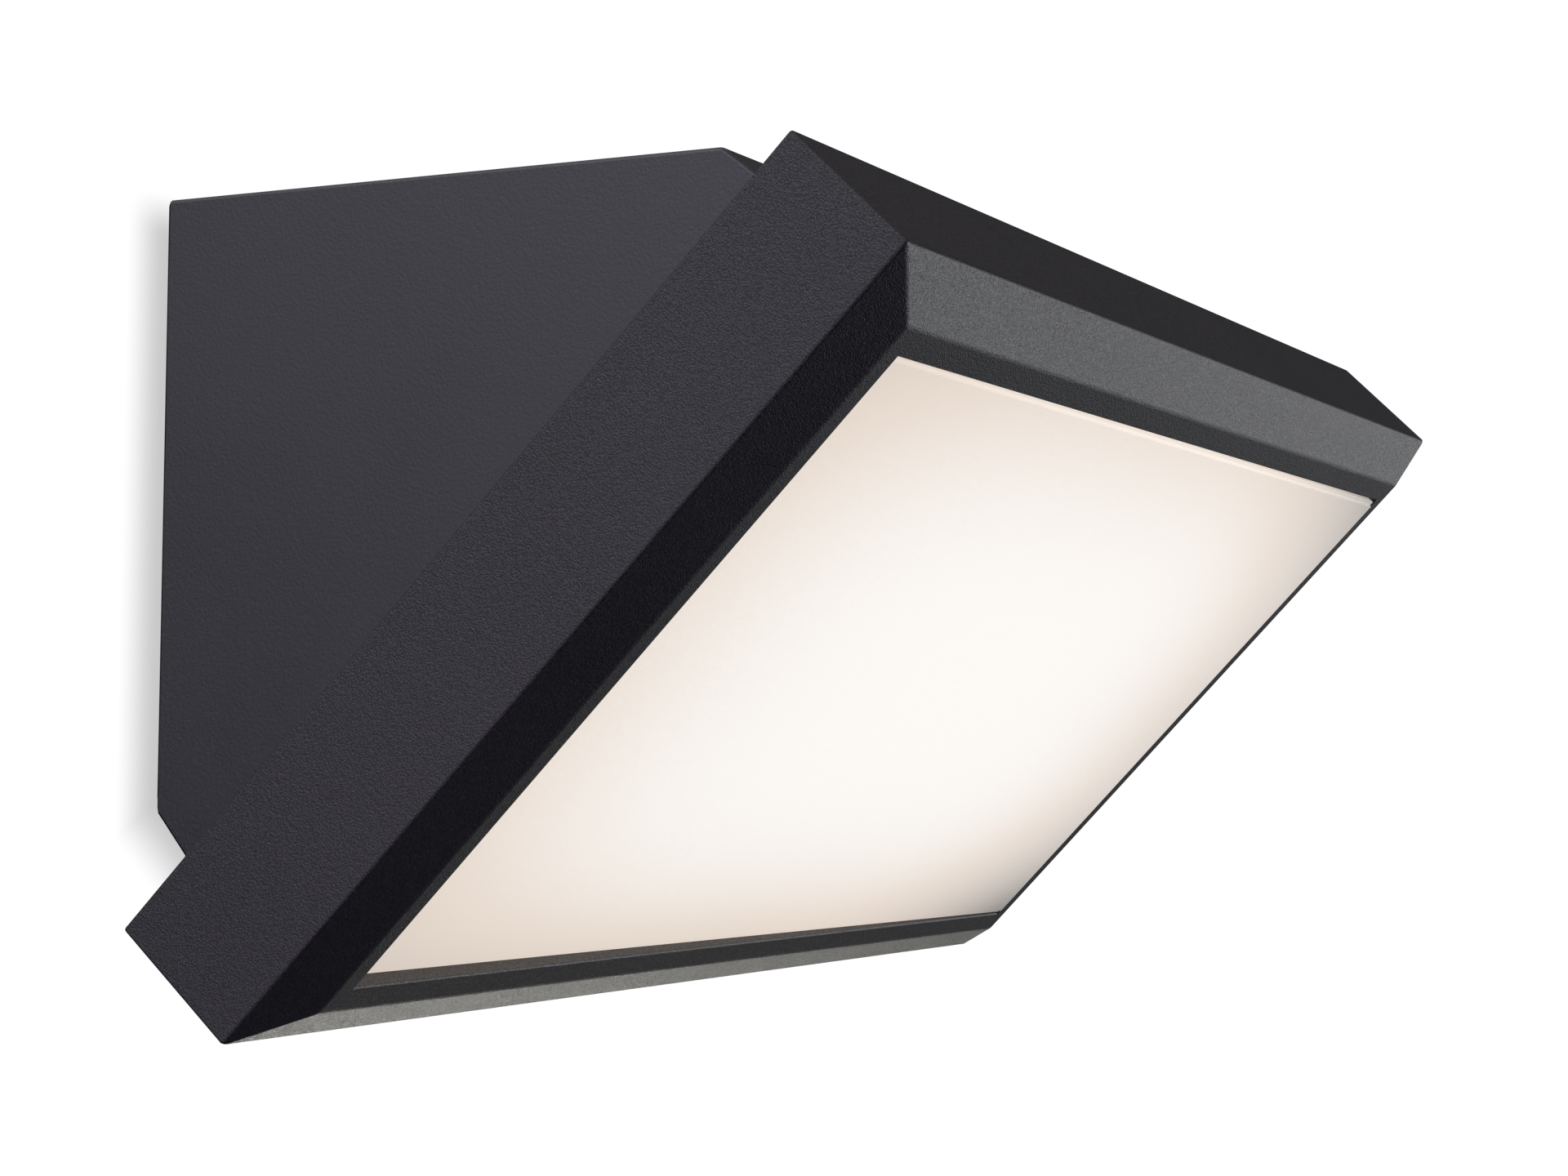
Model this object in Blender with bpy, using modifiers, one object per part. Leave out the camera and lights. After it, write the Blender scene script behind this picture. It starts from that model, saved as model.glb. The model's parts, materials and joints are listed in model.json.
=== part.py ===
"""Outdoor LED wall lantern: a wedge housing on the wall that carries a sloping light head.

The driving dimensions are in millimetres, and MM turns them into Blender's metres.

World frame: the wall is the plane Y = 0, the room is on its -Y side and +Z is up. The origin is on
the wall, at the middle of the housing's back.
Wall frame (the empty wall_axis): X as in the world, Y is up, Z is the distance from the wall.
Head frame (the empty head_axis): X as in the world, Y runs up the slope, Z is the way the light
leaves. Z = 0 is the head's back plane, and the wedge housing lies behind it.
"""

import math

import bmesh
import bpy
from mathutils import Matrix, Vector

MM = 0.001
GAP = 0.3                      # clearance between two pieces that touch
PAST = 2.0                     # a cutter runs this far past the surface it opens
M3_STEPS, M4_STEPS = 10, 12    # steps round a turned screw
M25_THREAD, M3_THREAD, M4_THREAD = 1.25, 1.5, 2.0    # thread radius
M25_HOLE, M3_HOLE, M4_HOLE = 1.5, 1.8, 2.3           # radius of a hole that clears the screw

# Head
HEAD_WIDTH = 250.0             # along X
HEAD_SIDE = 123.3              # up the slope
HEAD_EDGE = 19.0               # height of the head's four side faces
HEAD_TILT = 45.5               # degrees between the head's back plane and the wall
HEAD_WALL_GAP = 0.5            # the head's lower back edge stands this far off the wall
CHAMFER_INSET = 8.1            # the front chamfer, measured in the head's plane
CHAMFER_RISE = 3.5             # and along the light
BEZEL = 3.9                    # flat strip between the chamfer and the window
DIFFUSER_RECESS = 0.7          # the diffuser's face lies this far below the bezel
FRAME_WALL = 2.0
LIP_UNDERSIDE = 19.7           # the bezel lip's back face, along the light
CAVITY_SHOULDER = 4.0          # the frame's cavity narrows by this much under the chamfer
CAVITY_SHOULDER_RISE = 2.5     # over this height
HEAD_EDGE_RADIUS = 0.3

# Wedge housing
HOUSING_DEPTH = 75.9           # from the wall to the end of the flat top
HOUSING_FOOT = 13.8            # height of the housing's lower edge above the head's lower back edge
HOUSING_INSET = 5.9            # the head overhangs the housing by this much on each side
HOUSING_DRAFT = 3.0            # degrees, narrowing the housing away from the head
RIM_SLOPE = 38.5               # degrees: the short faces between the housing and the head
HOUSING_WALL = 2.5
HOUSING_CORNER = 0.9
INSIDE = -GAP - HOUSING_WALL   # inner face of the housing's sloping wall, in the head frame
BOSS_SINK = 1.2                # a boss runs this far into the wall it stands on
RIM_TO_WALL = 0.8              # room for the wall seal
SEAL_INSET = (1.6, 4.4)        # the wall seal's outer and inner edge, in from the rim's outline

# Stack inside the head: lowest and highest place of each layer along the light
GASKET_LAYER = (0.0, 0.7)
BACK_PLATE_LAYER = (1.0, 3.5)
BOARD_LAYER = (3.8, 5.4)
TRAY_FLOOR = 5.7
TRAY_RIM = 16.3
TRAY_SHEET = 0.9
FLANGE_LAYER = (16.6, 18.1)
DIFFUSER_SEAL_LAYER = (18.4, 19.4)
DIFFUSER_FLANGE = 3.2          # the flange reaches this far under the bezel lip

# Places in the head frame
FRAME_BOSS = (120.2, 57.0)     # the four corner bosses of the head frame
FRAME_BOSS_RADIUS = 3.0
FRAME_SCREW_LENGTH = 9.0
FRAME_SCREW_DEPTH = 12.5       # of the threaded hole, from the head's back plane
PLATE_SCREW = (104.0, 36.0)    # the four screws that hold the back plate on the housing
PLATE_SCREW_LENGTH = 9.0
PLATE_BOSS_HEIGHT = 8.0
PLATE_BOSS_RADIUS = 4.2
GASKET_EDGE = (114.0, 50.5)
GASKET_WIDTH = 4.0
GASKET_RAISED = 1.0            # the gasket follows the housing, which lies off the head's middle
LED_BOARD_EDGE = (95.0, 34.0)
BOARD_SCREW = (88.0, 28.0)
BOARD_SCREW_LENGTH = 4.0
CONNECTOR_LOW = (-93.0, -4.0)
CONNECTOR_SIZE = (7.0, 8.0, 3.0)
LED_COLUMNS = 6
LED_PITCH = 31.0
LED_ROW = 15.0
TRAY_HOLE = 3.6                # radius of the tray's holes round the LEDs and screw heads
LEAD_HOLE_X = -101.0
LEAD_HOLE_RADIUS = 4.0

# Driver, earth point and leads, in the head frame
BOSS_HEIGHT = 4.0              # of the driver's and the earth point's bosses
DRIVER_BOSS_RADIUS = 3.4
EARTH_BOSS_RADIUS = 4.0
EARTH_SEAT = INSIDE - BOSS_HEIGHT
DRIVER_BASE = EARTH_SEAT - GAP
DRIVER_HEIGHT = 22.0
DRIVER_WALL = 1.6
DRIVER_LOW_X, DRIVER_HIGH_X = -78.0, 4.0
DRIVER_Y = -4.0                # the middle of the driver, and half its width
DRIVER_HALF_Y = 16.0
DRIVER_FEET = [(DRIVER_LOW_X - 5.0, DRIVER_Y), (DRIVER_HIGH_X + 5.0, DRIVER_Y)]
DRIVER_LID = DRIVER_BASE - DRIVER_HEIGHT + DRIVER_WALL + GAP
DRIVER_LEAD_Z = DRIVER_LID + 6.0
DRIVER_LEAD_Y = 5.0            # the leads enter this far on each side of the driver's middle
EARTH_PLACE = (40.0, -24.0)
LUG_SHEET = 0.8
LUG_TAIL = 9.0                 # the lug's tail ends this far up the slope from its screw
MAINS_LEAD_RADIUS = 1.1
LED_LEAD_RADIUS = 0.7

# Places in the wall frame
CABLE_ENTRY_X = 28.0
WALL_SLOT_X = 84.0             # the slots for the wall screws, on both sides of the middle
WALL_SLOT_WIDTH = 5.6
WALL_SLOT_LENGTH = 16.0
CABLE_HOLE_RADIUS = 9.5
BRACKET_SHEET = 1.5
TAB_SCREW = (70.0, 9.0)        # the housing screws: beside the middle, and off the wall
TAB_TOP = 32.2                 # height of the bracket's folded tabs
TAB_BOSS_RADIUS = 4.6
WASHER_BORE, WASHER_EDGE, WASHER_SHEET = 2.4, 4.6, 1.0
HOUSING_SCREW_LENGTH = 9.5
TERMINAL_X = 58.0
TERMINAL_PITCH = 7.0
TERMINAL_HALF_HEIGHT = 8.5
TERMINAL_ENTRY = 6.0           # the wire entries' distance from the wall
TERMINAL_SCREW_X = TERMINAL_X + 15.5

TILT = math.radians(HEAD_TILT)
SLOPE_UP = Vector((0.0, -math.cos(TILT), math.sin(TILT)))
LIGHT_WAY = Vector((0.0, -math.sin(TILT), -math.cos(TILT)))
HEAD_RISE = HEAD_SIDE * math.sin(TILT)
HEAD_FOOT = Vector((0.0, -HEAD_WALL_GAP, -(HEAD_RISE + HOUSING_FOOT) / 2))
HEAD_CENTRE = HEAD_FOOT + SLOPE_UP * HEAD_SIDE / 2
HOUSING_TOP = HEAD_FOOT.z + HEAD_RISE
HOUSING_BOTTOM = HEAD_FOOT.z + HOUSING_FOOT
FRONT = HEAD_EDGE + CHAMFER_RISE
WINDOW_EDGE = CHAMFER_INSET + BEZEL

COLOURS = {
    "housing_paint": ((0.042, 0.042, 0.051), 0.42, 0.0),
    "head_coating": ((0.045, 0.042, 0.050), 0.62, 0.0),
    "opal": ((0.93, 0.90, 0.86), 0.35, 0.0),
    "zinc_steel": ((0.56, 0.57, 0.58), 0.38, 1.0),
    "stainless": ((0.60, 0.59, 0.57), 0.28, 1.0),
    "aluminium": ((0.72, 0.73, 0.74), 0.35, 1.0),
    "black_rubber": ((0.025, 0.025, 0.026), 0.80, 0.0),
    "clear_silicone": ((0.78, 0.78, 0.76), 0.55, 0.0),
    "white_plastic": ((0.86, 0.86, 0.84), 0.45, 0.0),
    "solder_mask": ((0.83, 0.84, 0.82), 0.40, 0.0),
    "led_phosphor": ((0.95, 0.80, 0.25), 0.35, 0.0),
    "driver_plastic": ((0.80, 0.81, 0.82), 0.50, 0.0),
    "circuit_board": ((0.03, 0.22, 0.08), 0.45, 0.0),
    "black_plastic": ((0.03, 0.03, 0.03), 0.50, 0.0),
    "transformer_tape": ((0.85, 0.66, 0.10), 0.45, 0.0),
    "terminal_grey": ((0.55, 0.56, 0.57), 0.48, 0.0),
    "button_orange": ((0.85, 0.27, 0.04), 0.45, 0.0),
    "brown_pvc": ((0.17, 0.07, 0.03), 0.45, 0.0),
    "blue_pvc": ((0.03, 0.12, 0.50), 0.45, 0.0),
    "green_yellow_pvc": ((0.22, 0.50, 0.06), 0.45, 0.0),
    "red_pvc": ((0.60, 0.03, 0.03), 0.45, 0.0),
    "black_pvc": ((0.02, 0.02, 0.02), 0.45, 0.0),
}


# ---------------------------------------------------------------------------------------- scene
def clear_scene():
    for old in list(bpy.data.objects):
        bpy.data.objects.remove(old, do_unlink=True)


def new_collection(name):
    collection = bpy.data.collections.new(name)
    bpy.context.scene.collection.children.link(collection)
    return collection


def finish(part_name, colour_name):
    """The sub-part's own Principled material."""
    colour, roughness, metallic = COLOURS[colour_name]
    material = bpy.data.materials.new(part_name + "_" + colour_name)
    material.use_nodes = True
    shader = material.node_tree.nodes["Principled BSDF"]
    shader.inputs["Base Color"].default_value = (*colour, 1.0)
    shader.inputs["Roughness"].default_value = roughness
    shader.inputs["Metallic"].default_value = metallic
    material.diffuse_color = (*colour, 1.0)
    return material


def add_axis(name, location, turn):
    axis = bpy.data.objects.new(name, None)
    PARTS.objects.link(axis)
    axis.location = location
    axis.rotation_euler = turn
    return axis


def add_part(name, mesh, colour_name, parent, location=(0.0, 0.0, 0.0), turn=(0.0, 0.0, 0.0)):
    part = bpy.data.objects.new(name, mesh)
    PARTS.objects.link(part)
    part.parent = parent
    part.location = Vector(location) * MM
    part.rotation_euler = turn
    if not mesh.materials:
        mesh.materials.append(None)
    finish_slot = part.material_slots[0]
    finish_slot.link = "OBJECT"
    finish_slot.material = finish(name, colour_name)
    return part


def add_cutter(name, mesh, parent):
    cutter = bpy.data.objects.new(name, mesh)
    CUTTERS.objects.link(cutter)
    cutter.parent = parent
    cutter.hide_render = True
    cutter.display_type = "WIRE"
    return cutter


def boolean(part, tool, operation):
    step = part.modifiers.new(tool.name, "BOOLEAN")
    step.operation = operation
    step.solver = "EXACT"
    step.object = tool


def cut(part, tool):
    boolean(part, tool, "DIFFERENCE")


def join(part, tool):
    boolean(part, tool, "UNION")


def round_edges(part, radius, segments=2, angle=25.0):
    bevel = part.modifiers.new("rounded_edges", "BEVEL")
    bevel.width = radius * MM
    bevel.segments = segments
    bevel.limit_method = "ANGLE"
    bevel.angle_limit = math.radians(angle)
    bevel.use_clamp_overlap = True


# --------------------------------------------------------------------------------------- meshes
def to_mesh(name, bm):
    mesh = bpy.data.meshes.new(name)
    bm.to_mesh(mesh)
    bm.free()
    return mesh


def smooth_shading(mesh, angle=35.0):
    mesh.shade_smooth()
    mesh.set_sharp_from_angle(angle=math.radians(angle))
    return mesh


def add_block(bm, low, high):
    low, high = Vector(low), Vector(high)
    place = Matrix.Translation((low + high) / 2 * MM) @ Matrix.Diagonal(((high - low) * MM).to_4d())
    bmesh.ops.create_cube(bm, size=1.0, matrix=place)


def block_mesh(name, *corners):
    """One or more separate blocks, each a (low, high) pair of corners."""
    bm = bmesh.new()
    for low, high in corners:
        add_block(bm, low, high)
    return to_mesh(name, bm)


TURN_TO = {
    "X": Matrix.Rotation(math.pi / 2, 4, "Y"),
    "Y": Matrix.Rotation(-math.pi / 2, 4, "X"),
    "Z": Matrix.Identity(4),
}


def post_mesh(name, centres, radius, low, high, axis="Z", sides=16):
    """Round posts along one axis; each centre gives the other two coordinates, in X, Y, Z order."""
    bm = bmesh.new()
    for first, second in centres:
        middle = (low + high) / 2
        place = {"X": (middle, first, second), "Y": (first, middle, second), "Z": (first, second, middle)}
        bmesh.ops.create_cone(
            bm, cap_ends=True, segments=sides, radius1=radius * MM, radius2=radius * MM,
            depth=(high - low) * MM,
            matrix=Matrix.Translation(Vector(place[axis]) * MM) @ TURN_TO[axis])
    return smooth_shading(to_mesh(name, bm))


def stepped_mesh(name, levels):
    """A block whose centred rectangular section changes at each (half x, half y, z) level."""
    bm = bmesh.new()
    half_x, half_y, floor = levels[0]
    add_block(bm, (-half_x, -half_y, floor), (half_x, half_y, levels[1][2]))
    for number, (next_x, next_y, height) in enumerate(levels[1:]):
        top = max(bm.faces, key=lambda face: face.calc_center_median().z)
        if number:
            top = bmesh.ops.extrude_discrete_faces(bm, faces=[top])["faces"][0]
        for corner in top.verts:
            corner.co.x = math.copysign(next_x * MM, corner.co.x)
            corner.co.y = math.copysign(next_y * MM, corner.co.y)
            corner.co.z = height * MM
    return to_mesh(name, bm)


def rectangle(low_x, low_y, high_x, high_y):
    return [(low_x, low_y), (high_x, low_y), (high_x, high_y), (low_x, high_y)]


def circle(centre, radius, sides=16):
    angles = [2 * math.pi * side / sides for side in range(sides)]
    return [(centre[0] + radius * math.cos(a), centre[1] + radius * math.sin(a)) for a in angles]


def slot(centre, length, width, upright=False, sides=8):
    """A hole with round ends; length is end to end."""
    reach = (length - width) / 2
    points = []
    for end in (1, -1):
        for side in range(sides + 1):
            angle = math.pi * side / sides + (0 if end > 0 else math.pi)
            along = end * reach + width / 2 * math.sin(angle)
            across = -width / 2 * math.cos(angle)
            points.append((across, along) if upright else (along, -across))
    return [(centre[0] + x, centre[1] + y) for x, y in points]


def mirrored(x, y):
    return [(x, y), (-x, y), (-x, -y), (x, -y)]


def plate_mesh(name, outlines, low, high):
    """A flat plate between two heights: the first outline is its edge and the others are holes."""
    curve = bpy.data.curves.new(name, "CURVE")
    curve.dimensions = "2D"
    curve.fill_mode = "BOTH"
    curve.extrude = (high - low) / 2 * MM
    for outline in outlines:
        spline = curve.splines.new("POLY")
        spline.points.add(len(outline) - 1)
        for point, (x, y) in zip(spline.points, outline):
            point.co = (x * MM, y * MM, 0.0, 1.0)
        spline.use_cyclic_u = True
    drawn = bpy.data.objects.new(name, curve)
    CUTTERS.objects.link(drawn)
    bpy.context.view_layer.update()
    mesh = bpy.data.meshes.new_from_object(drawn.evaluated_get(bpy.context.evaluated_depsgraph_get()))
    bpy.data.objects.remove(drawn, do_unlink=True)
    bm = bmesh.new()
    bm.from_mesh(mesh)
    bpy.data.meshes.remove(mesh)
    bmesh.ops.remove_doubles(bm, verts=bm.verts, dist=1e-6)
    bmesh.ops.dissolve_limit(bm, angle_limit=math.radians(1.0), verts=bm.verts, edges=bm.edges)
    bmesh.ops.translate(bm, verts=bm.verts, vec=(0.0, 0.0, (low + high) / 2 * MM))
    bmesh.ops.recalc_face_normals(bm, faces=bm.faces)
    return to_mesh(name, bm)


def turned_mesh(name, profile, steps=16, ring=False):
    """A profile of (radius, height) points, running down its outer side, turned round Z."""
    bm = bmesh.new()
    corners = [bm.verts.new((radius * MM, 0.0, height * MM)) for radius, height in profile]
    for first, second in zip(corners, corners[1:]):
        bm.edges.new((first, second))
    if ring:
        bm.edges.new((corners[-1], corners[0]))
    turning = bpy.data.objects.new(name, to_mesh(name + "_profile", bm))
    CUTTERS.objects.link(turning)
    screw = turning.modifiers.new("turned", "SCREW")
    screw.steps = steps
    screw.render_steps = steps
    screw.use_merge_vertices = True
    screw.merge_threshold = 1e-6
    bpy.context.view_layer.update()
    mesh = bpy.data.meshes.new_from_object(turning.evaluated_get(bpy.context.evaluated_depsgraph_get()))
    mesh.name = name
    bpy.data.objects.remove(turning, do_unlink=True)
    return smooth_shading(mesh)


def screw_mesh(name, thread_radius, length, steps):
    """A pan-head screw: Z = 0 is under the head, which is on the +Z side."""
    head_radius, head_height = thread_radius * 1.85, thread_radius * 1.2
    edge, key = thread_radius * 0.35, thread_radius * 0.62
    return turned_mesh(name, [
        (0.0, head_height * 0.4), (key, head_height * 0.4), (key, head_height),
        (head_radius - edge, head_height), (head_radius, head_height - edge), (head_radius, 0.0),
        (thread_radius, 0.0), (thread_radius, edge - length), (thread_radius - edge, -length),
        (0.0, -length)], steps)


def smooth_route(points, per_span=5):
    """Points on the Catmull-Rom curve through the route's own points."""
    points = [Vector(point) for point in points]
    ends = [points[0] * 2 - points[1]] + points + [points[-1] * 2 - points[-2]]
    route = []
    for a, b, c, d in zip(ends, ends[1:], ends[2:], ends[3:]):
        for number in range(per_span):
            t = number / per_span
            route.append(0.5 * (2 * b + (c - a) * t + (2 * a - 5 * b + 4 * c - d) * t ** 2
                                + (3 * b - a - 3 * c + d) * t ** 3))
    return route + [points[-1]]


def add_lead(name, points, radius, colour_name):
    """A wire with filled ends along a route in the world frame."""
    curve = bpy.data.curves.new(name, "CURVE")
    curve.dimensions = "3D"
    curve.bevel_depth = radius * MM
    curve.bevel_resolution = 2
    curve.use_fill_caps = True
    route = smooth_route(points)
    spline = curve.splines.new("POLY")
    spline.points.add(len(route) - 1)
    for point, place in zip(spline.points, route):
        point.co = (*(place * MM), 1.0)
    lead = bpy.data.objects.new(name, curve)
    PARTS.objects.link(lead)
    curve.materials.append(finish(name, colour_name))
    return lead


def from_head(x, y, z):
    """A place in the head frame, in the world frame."""
    return Vector((x, 0.0, 0.0)) + HEAD_CENTRE + SLOPE_UP * y + LIGHT_WAY * z


def from_wall(x, height, distance):
    return Vector((x, -distance, height))


def behind_head(place):
    """Distance of a world place behind the head's back plane."""
    return (HEAD_FOOT - place).dot(LIGHT_WAY)


# ----------------------------------------------------------------------------------------- head
def make_head_frame():
    half_x, half_y = HEAD_WIDTH / 2, HEAD_SIDE / 2
    frame = add_part("head_frame", stepped_mesh("head_frame", [
        (half_x, half_y, 0.0), (half_x, half_y, HEAD_EDGE),
        (half_x - CHAMFER_INSET, half_y - CHAMFER_INSET, FRONT)]), "head_coating", HEAD)
    round_edges(frame, HEAD_EDGE_RADIUS, angle=20.0)
    inner_x, inner_y = half_x - FRAME_WALL, half_y - FRAME_WALL
    cavity = add_cutter("frame_cavity", stepped_mesh("frame_cavity", [
        (inner_x, inner_y, -PAST), (inner_x, inner_y, LIP_UNDERSIDE - CAVITY_SHOULDER_RISE),
        (inner_x - CAVITY_SHOULDER, inner_y - CAVITY_SHOULDER, LIP_UNDERSIDE)]), HEAD)
    bosses = add_cutter("frame_bosses", post_mesh(
        "frame_bosses", mirrored(*FRAME_BOSS), FRAME_BOSS_RADIUS, BACK_PLATE_LAYER[1] + GAP,
        FRONT + PAST), HEAD)
    cut(cavity, bosses)
    cut(frame, cavity)
    cut(frame, add_cutter("frame_window", block_mesh("frame_window", (
        (WINDOW_EDGE - half_x, WINDOW_EDGE - half_y, LIP_UNDERSIDE - PAST),
        (half_x - WINDOW_EDGE, half_y - WINDOW_EDGE, FRONT + PAST))), HEAD))
    cut(frame, add_cutter("frame_screw_holes", post_mesh(
        "frame_screw_holes", mirrored(*FRAME_BOSS), M25_HOLE, 0.0, FRAME_SCREW_DEPTH), HEAD))


def make_back_plate():
    half_x = HEAD_WIDTH / 2 - FRAME_WALL - GAP
    half_y = HEAD_SIDE / 2 - FRAME_WALL - GAP
    holes = [circle(place, M25_HOLE, 12) for place in mirrored(*FRAME_BOSS)]
    holes += [circle(place, M3_HOLE, 12) for place in mirrored(*BOARD_SCREW)]
    holes += [circle(place, M4_HOLE, 12) for place in mirrored(*PLATE_SCREW)]
    holes.append(circle((LEAD_HOLE_X, 0.0), LEAD_HOLE_RADIUS))
    mesh = plate_mesh("back_plate", [rectangle(-half_x, -half_y, half_x, half_y)] + holes,
                      *BACK_PLATE_LAYER)
    add_part("back_plate", mesh, "aluminium", HEAD)


def make_head_gasket():
    outlines = []
    for inset in (0.0, GASKET_WIDTH):
        x, y = GASKET_EDGE[0] - inset, GASKET_EDGE[1] - inset
        outlines.append(rectangle(-x, GASKET_RAISED - y, x, GASKET_RAISED + y))
    add_part("head_gasket", plate_mesh("head_gasket", outlines, *GASKET_LAYER), "black_rubber", HEAD)


def make_diffuser():
    window_x, window_y = HEAD_WIDTH / 2 - WINDOW_EDGE, HEAD_SIDE / 2 - WINDOW_EDGE
    flange_x, flange_y = window_x + DIFFUSER_FLANGE, window_y + DIFFUSER_FLANGE
    face = FRONT - DIFFUSER_RECESS
    clear = 0.4                # between the plateau and the frame's window
    edge_inset, edge_drop = 0.6, 0.4
    sheet, pocket_inset = 2.0, 4.0
    low, high = FLANGE_LAYER
    x, y = window_x - clear, window_y - clear
    diffuser = add_part("diffuser", stepped_mesh("diffuser", [
        (flange_x, flange_y, low), (flange_x, flange_y, high), (x, y, high),
        (x, y, face - edge_drop), (x - edge_inset, y - edge_inset, face)]), "opal", HEAD)
    pocket_x, pocket_y = window_x - pocket_inset, window_y - pocket_inset
    cut(diffuser, add_cutter("diffuser_pocket", stepped_mesh("diffuser_pocket", [
        (pocket_x, pocket_y, low - PAST), (pocket_x, pocket_y, face - sheet)]), HEAD))
    outer = rectangle(-flange_x, -flange_y, flange_x, flange_y)
    seal_inset = 0.6           # keeps the seal's inner edge out of sight under the lip
    inner_x, inner_y = window_x + seal_inset, window_y + seal_inset
    inner = rectangle(-inner_x, -inner_y, inner_x, inner_y)
    add_part("diffuser_seal", plate_mesh("diffuser_seal", [outer, inner], *DIFFUSER_SEAL_LAYER),
             "clear_silicone", HEAD)


def led_places():
    middle = (LED_COLUMNS - 1) / 2
    return [((column - middle) * LED_PITCH, row) for row in (-LED_ROW, LED_ROW)
            for column in range(LED_COLUMNS)]


def make_light_engine():
    half_x, half_y = LED_BOARD_EDGE
    holes = [circle(place, M3_HOLE, 12) for place in mirrored(*BOARD_SCREW)]
    board = plate_mesh("led_board", [rectangle(-half_x, -half_y, half_x, half_y)] + holes, *BOARD_LAYER)
    add_part("led_board", board, "solder_mask", HEAD)
    floor = BOARD_LAYER[1] + GAP
    body, body_top = 1.75, 0.7
    lens, lens_edge, lens_flat, lens_top = 1.35, 1.1, 0.8, 1.6
    led = stepped_mesh("led", [(body, body, 0.0), (body, body, body_top), (lens, lens, body_top),
                               (lens, lens, lens_edge), (lens_flat, lens_flat, lens_top)])
    for number, (x, y) in enumerate(led_places(), 1):
        add_part(f"led_{number:02d}", led, "led_phosphor", HEAD, (x, y, floor))
    corner = Vector((*CONNECTOR_LOW, floor))
    add_part("board_connector", block_mesh("board_connector", (corner, corner + Vector(CONNECTOR_SIZE))),
             "white_plastic", HEAD)
    screw = screw_mesh("board_screw", M3_THREAD, BOARD_SCREW_LENGTH, M3_STEPS)
    for number, (x, y) in enumerate(mirrored(*BOARD_SCREW), 1):
        add_part(f"board_screw_{number}", screw, "stainless", HEAD, (x, y, floor))


def make_reflector_tray():
    """A tray with sloping sides and a rim: an open surface given its thickness."""
    bm = bmesh.new()
    floor_x, floor_y = 98.0, 36.5
    mouth_x, mouth_y, rim = 111.0, 47.5, 4.0
    add_block(bm, (-floor_x, -floor_y, TRAY_FLOOR), (floor_x, floor_y, TRAY_RIM - TRAY_SHEET))
    top = max(bm.faces, key=lambda face: face.calc_center_median().z)
    for corner in top.verts:
        corner.co.x = math.copysign(mouth_x * MM, corner.co.x)
        corner.co.y = math.copysign(mouth_y * MM, corner.co.y)
    edge = list(top.edges)
    bmesh.ops.delete(bm, geom=[top], context="FACES_ONLY")
    made = bmesh.ops.extrude_edge_only(bm, edges=edge)
    for corner in made["geom"]:
        if isinstance(corner, bmesh.types.BMVert):
            corner.co.x += math.copysign(rim * MM, corner.co.x)
            corner.co.y += math.copysign(rim * MM, corner.co.y)
    bmesh.ops.remove_doubles(bm, verts=bm.verts, dist=1e-6)
    bmesh.ops.recalc_face_normals(bm, faces=bm.faces)
    return to_mesh("reflector_tray", bm)


def add_reflector_tray():
    tray = add_part("reflector_tray", make_reflector_tray(), "white_plastic", HEAD)
    shell = tray.modifiers.new("sheet", "SOLIDIFY")
    shell.thickness = TRAY_SHEET * MM
    shell.offset = 1.0
    shell.use_even_offset = True
    low, high = TRAY_FLOOR - PAST, TRAY_FLOOR + 2 * PAST
    cut(tray, add_cutter("tray_led_holes", post_mesh(
        "tray_led_holes", led_places(), TRAY_HOLE, low, high, sides=12), HEAD))
    cut(tray, add_cutter("tray_screw_holes", post_mesh(
        "tray_screw_holes", mirrored(*BOARD_SCREW), TRAY_HOLE, low, high, sides=12), HEAD))
    notch_low, notch_high, notch_half = -103.5, -84.0, 7.0
    cut(tray, add_cutter("tray_notch", block_mesh("tray_notch", (
        (notch_low, -notch_half, low), (notch_high, notch_half, high + PAST))), HEAD))


def add_head_screws():
    plate_screw = screw_mesh("plate_screw", M4_THREAD, PLATE_SCREW_LENGTH, M4_STEPS)
    for number, (x, y) in enumerate(mirrored(*PLATE_SCREW), 1):
        add_part(f"plate_screw_{number}", plate_screw, "stainless", HEAD,
                 (x, y, BACK_PLATE_LAYER[1] + GAP))
    frame_screw = screw_mesh("frame_screw", M25_THREAD, FRAME_SCREW_LENGTH, M3_STEPS)
    for number, (x, y) in enumerate(mirrored(*FRAME_BOSS), 1):
        add_part(f"frame_screw_{number}", frame_screw, "stainless", HEAD,
                 (x, y, BACK_PLATE_LAYER[0] - GAP), (math.pi, 0.0, 0.0))


def add_lead_grommet():
    """The rubber sleeve in the housing's sloping wall and the back plate."""
    front, back = BACK_PLATE_LAYER[1] + GAP, INSIDE - GAP
    bore, neck, flange, sheet = 2.6, LEAD_HOLE_RADIUS - GAP, 5.5, 1.2
    mesh = turned_mesh("lead_grommet", [
        (bore, front + sheet), (flange, front + sheet), (flange, front), (neck, front), (neck, back),
        (flange, back), (flange, back - sheet), (bore, back - sheet)], steps=14, ring=True)
    add_part("lead_grommet", mesh, "black_rubber", HEAD, (LEAD_HOLE_X, 0.0, 0.0))


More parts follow.
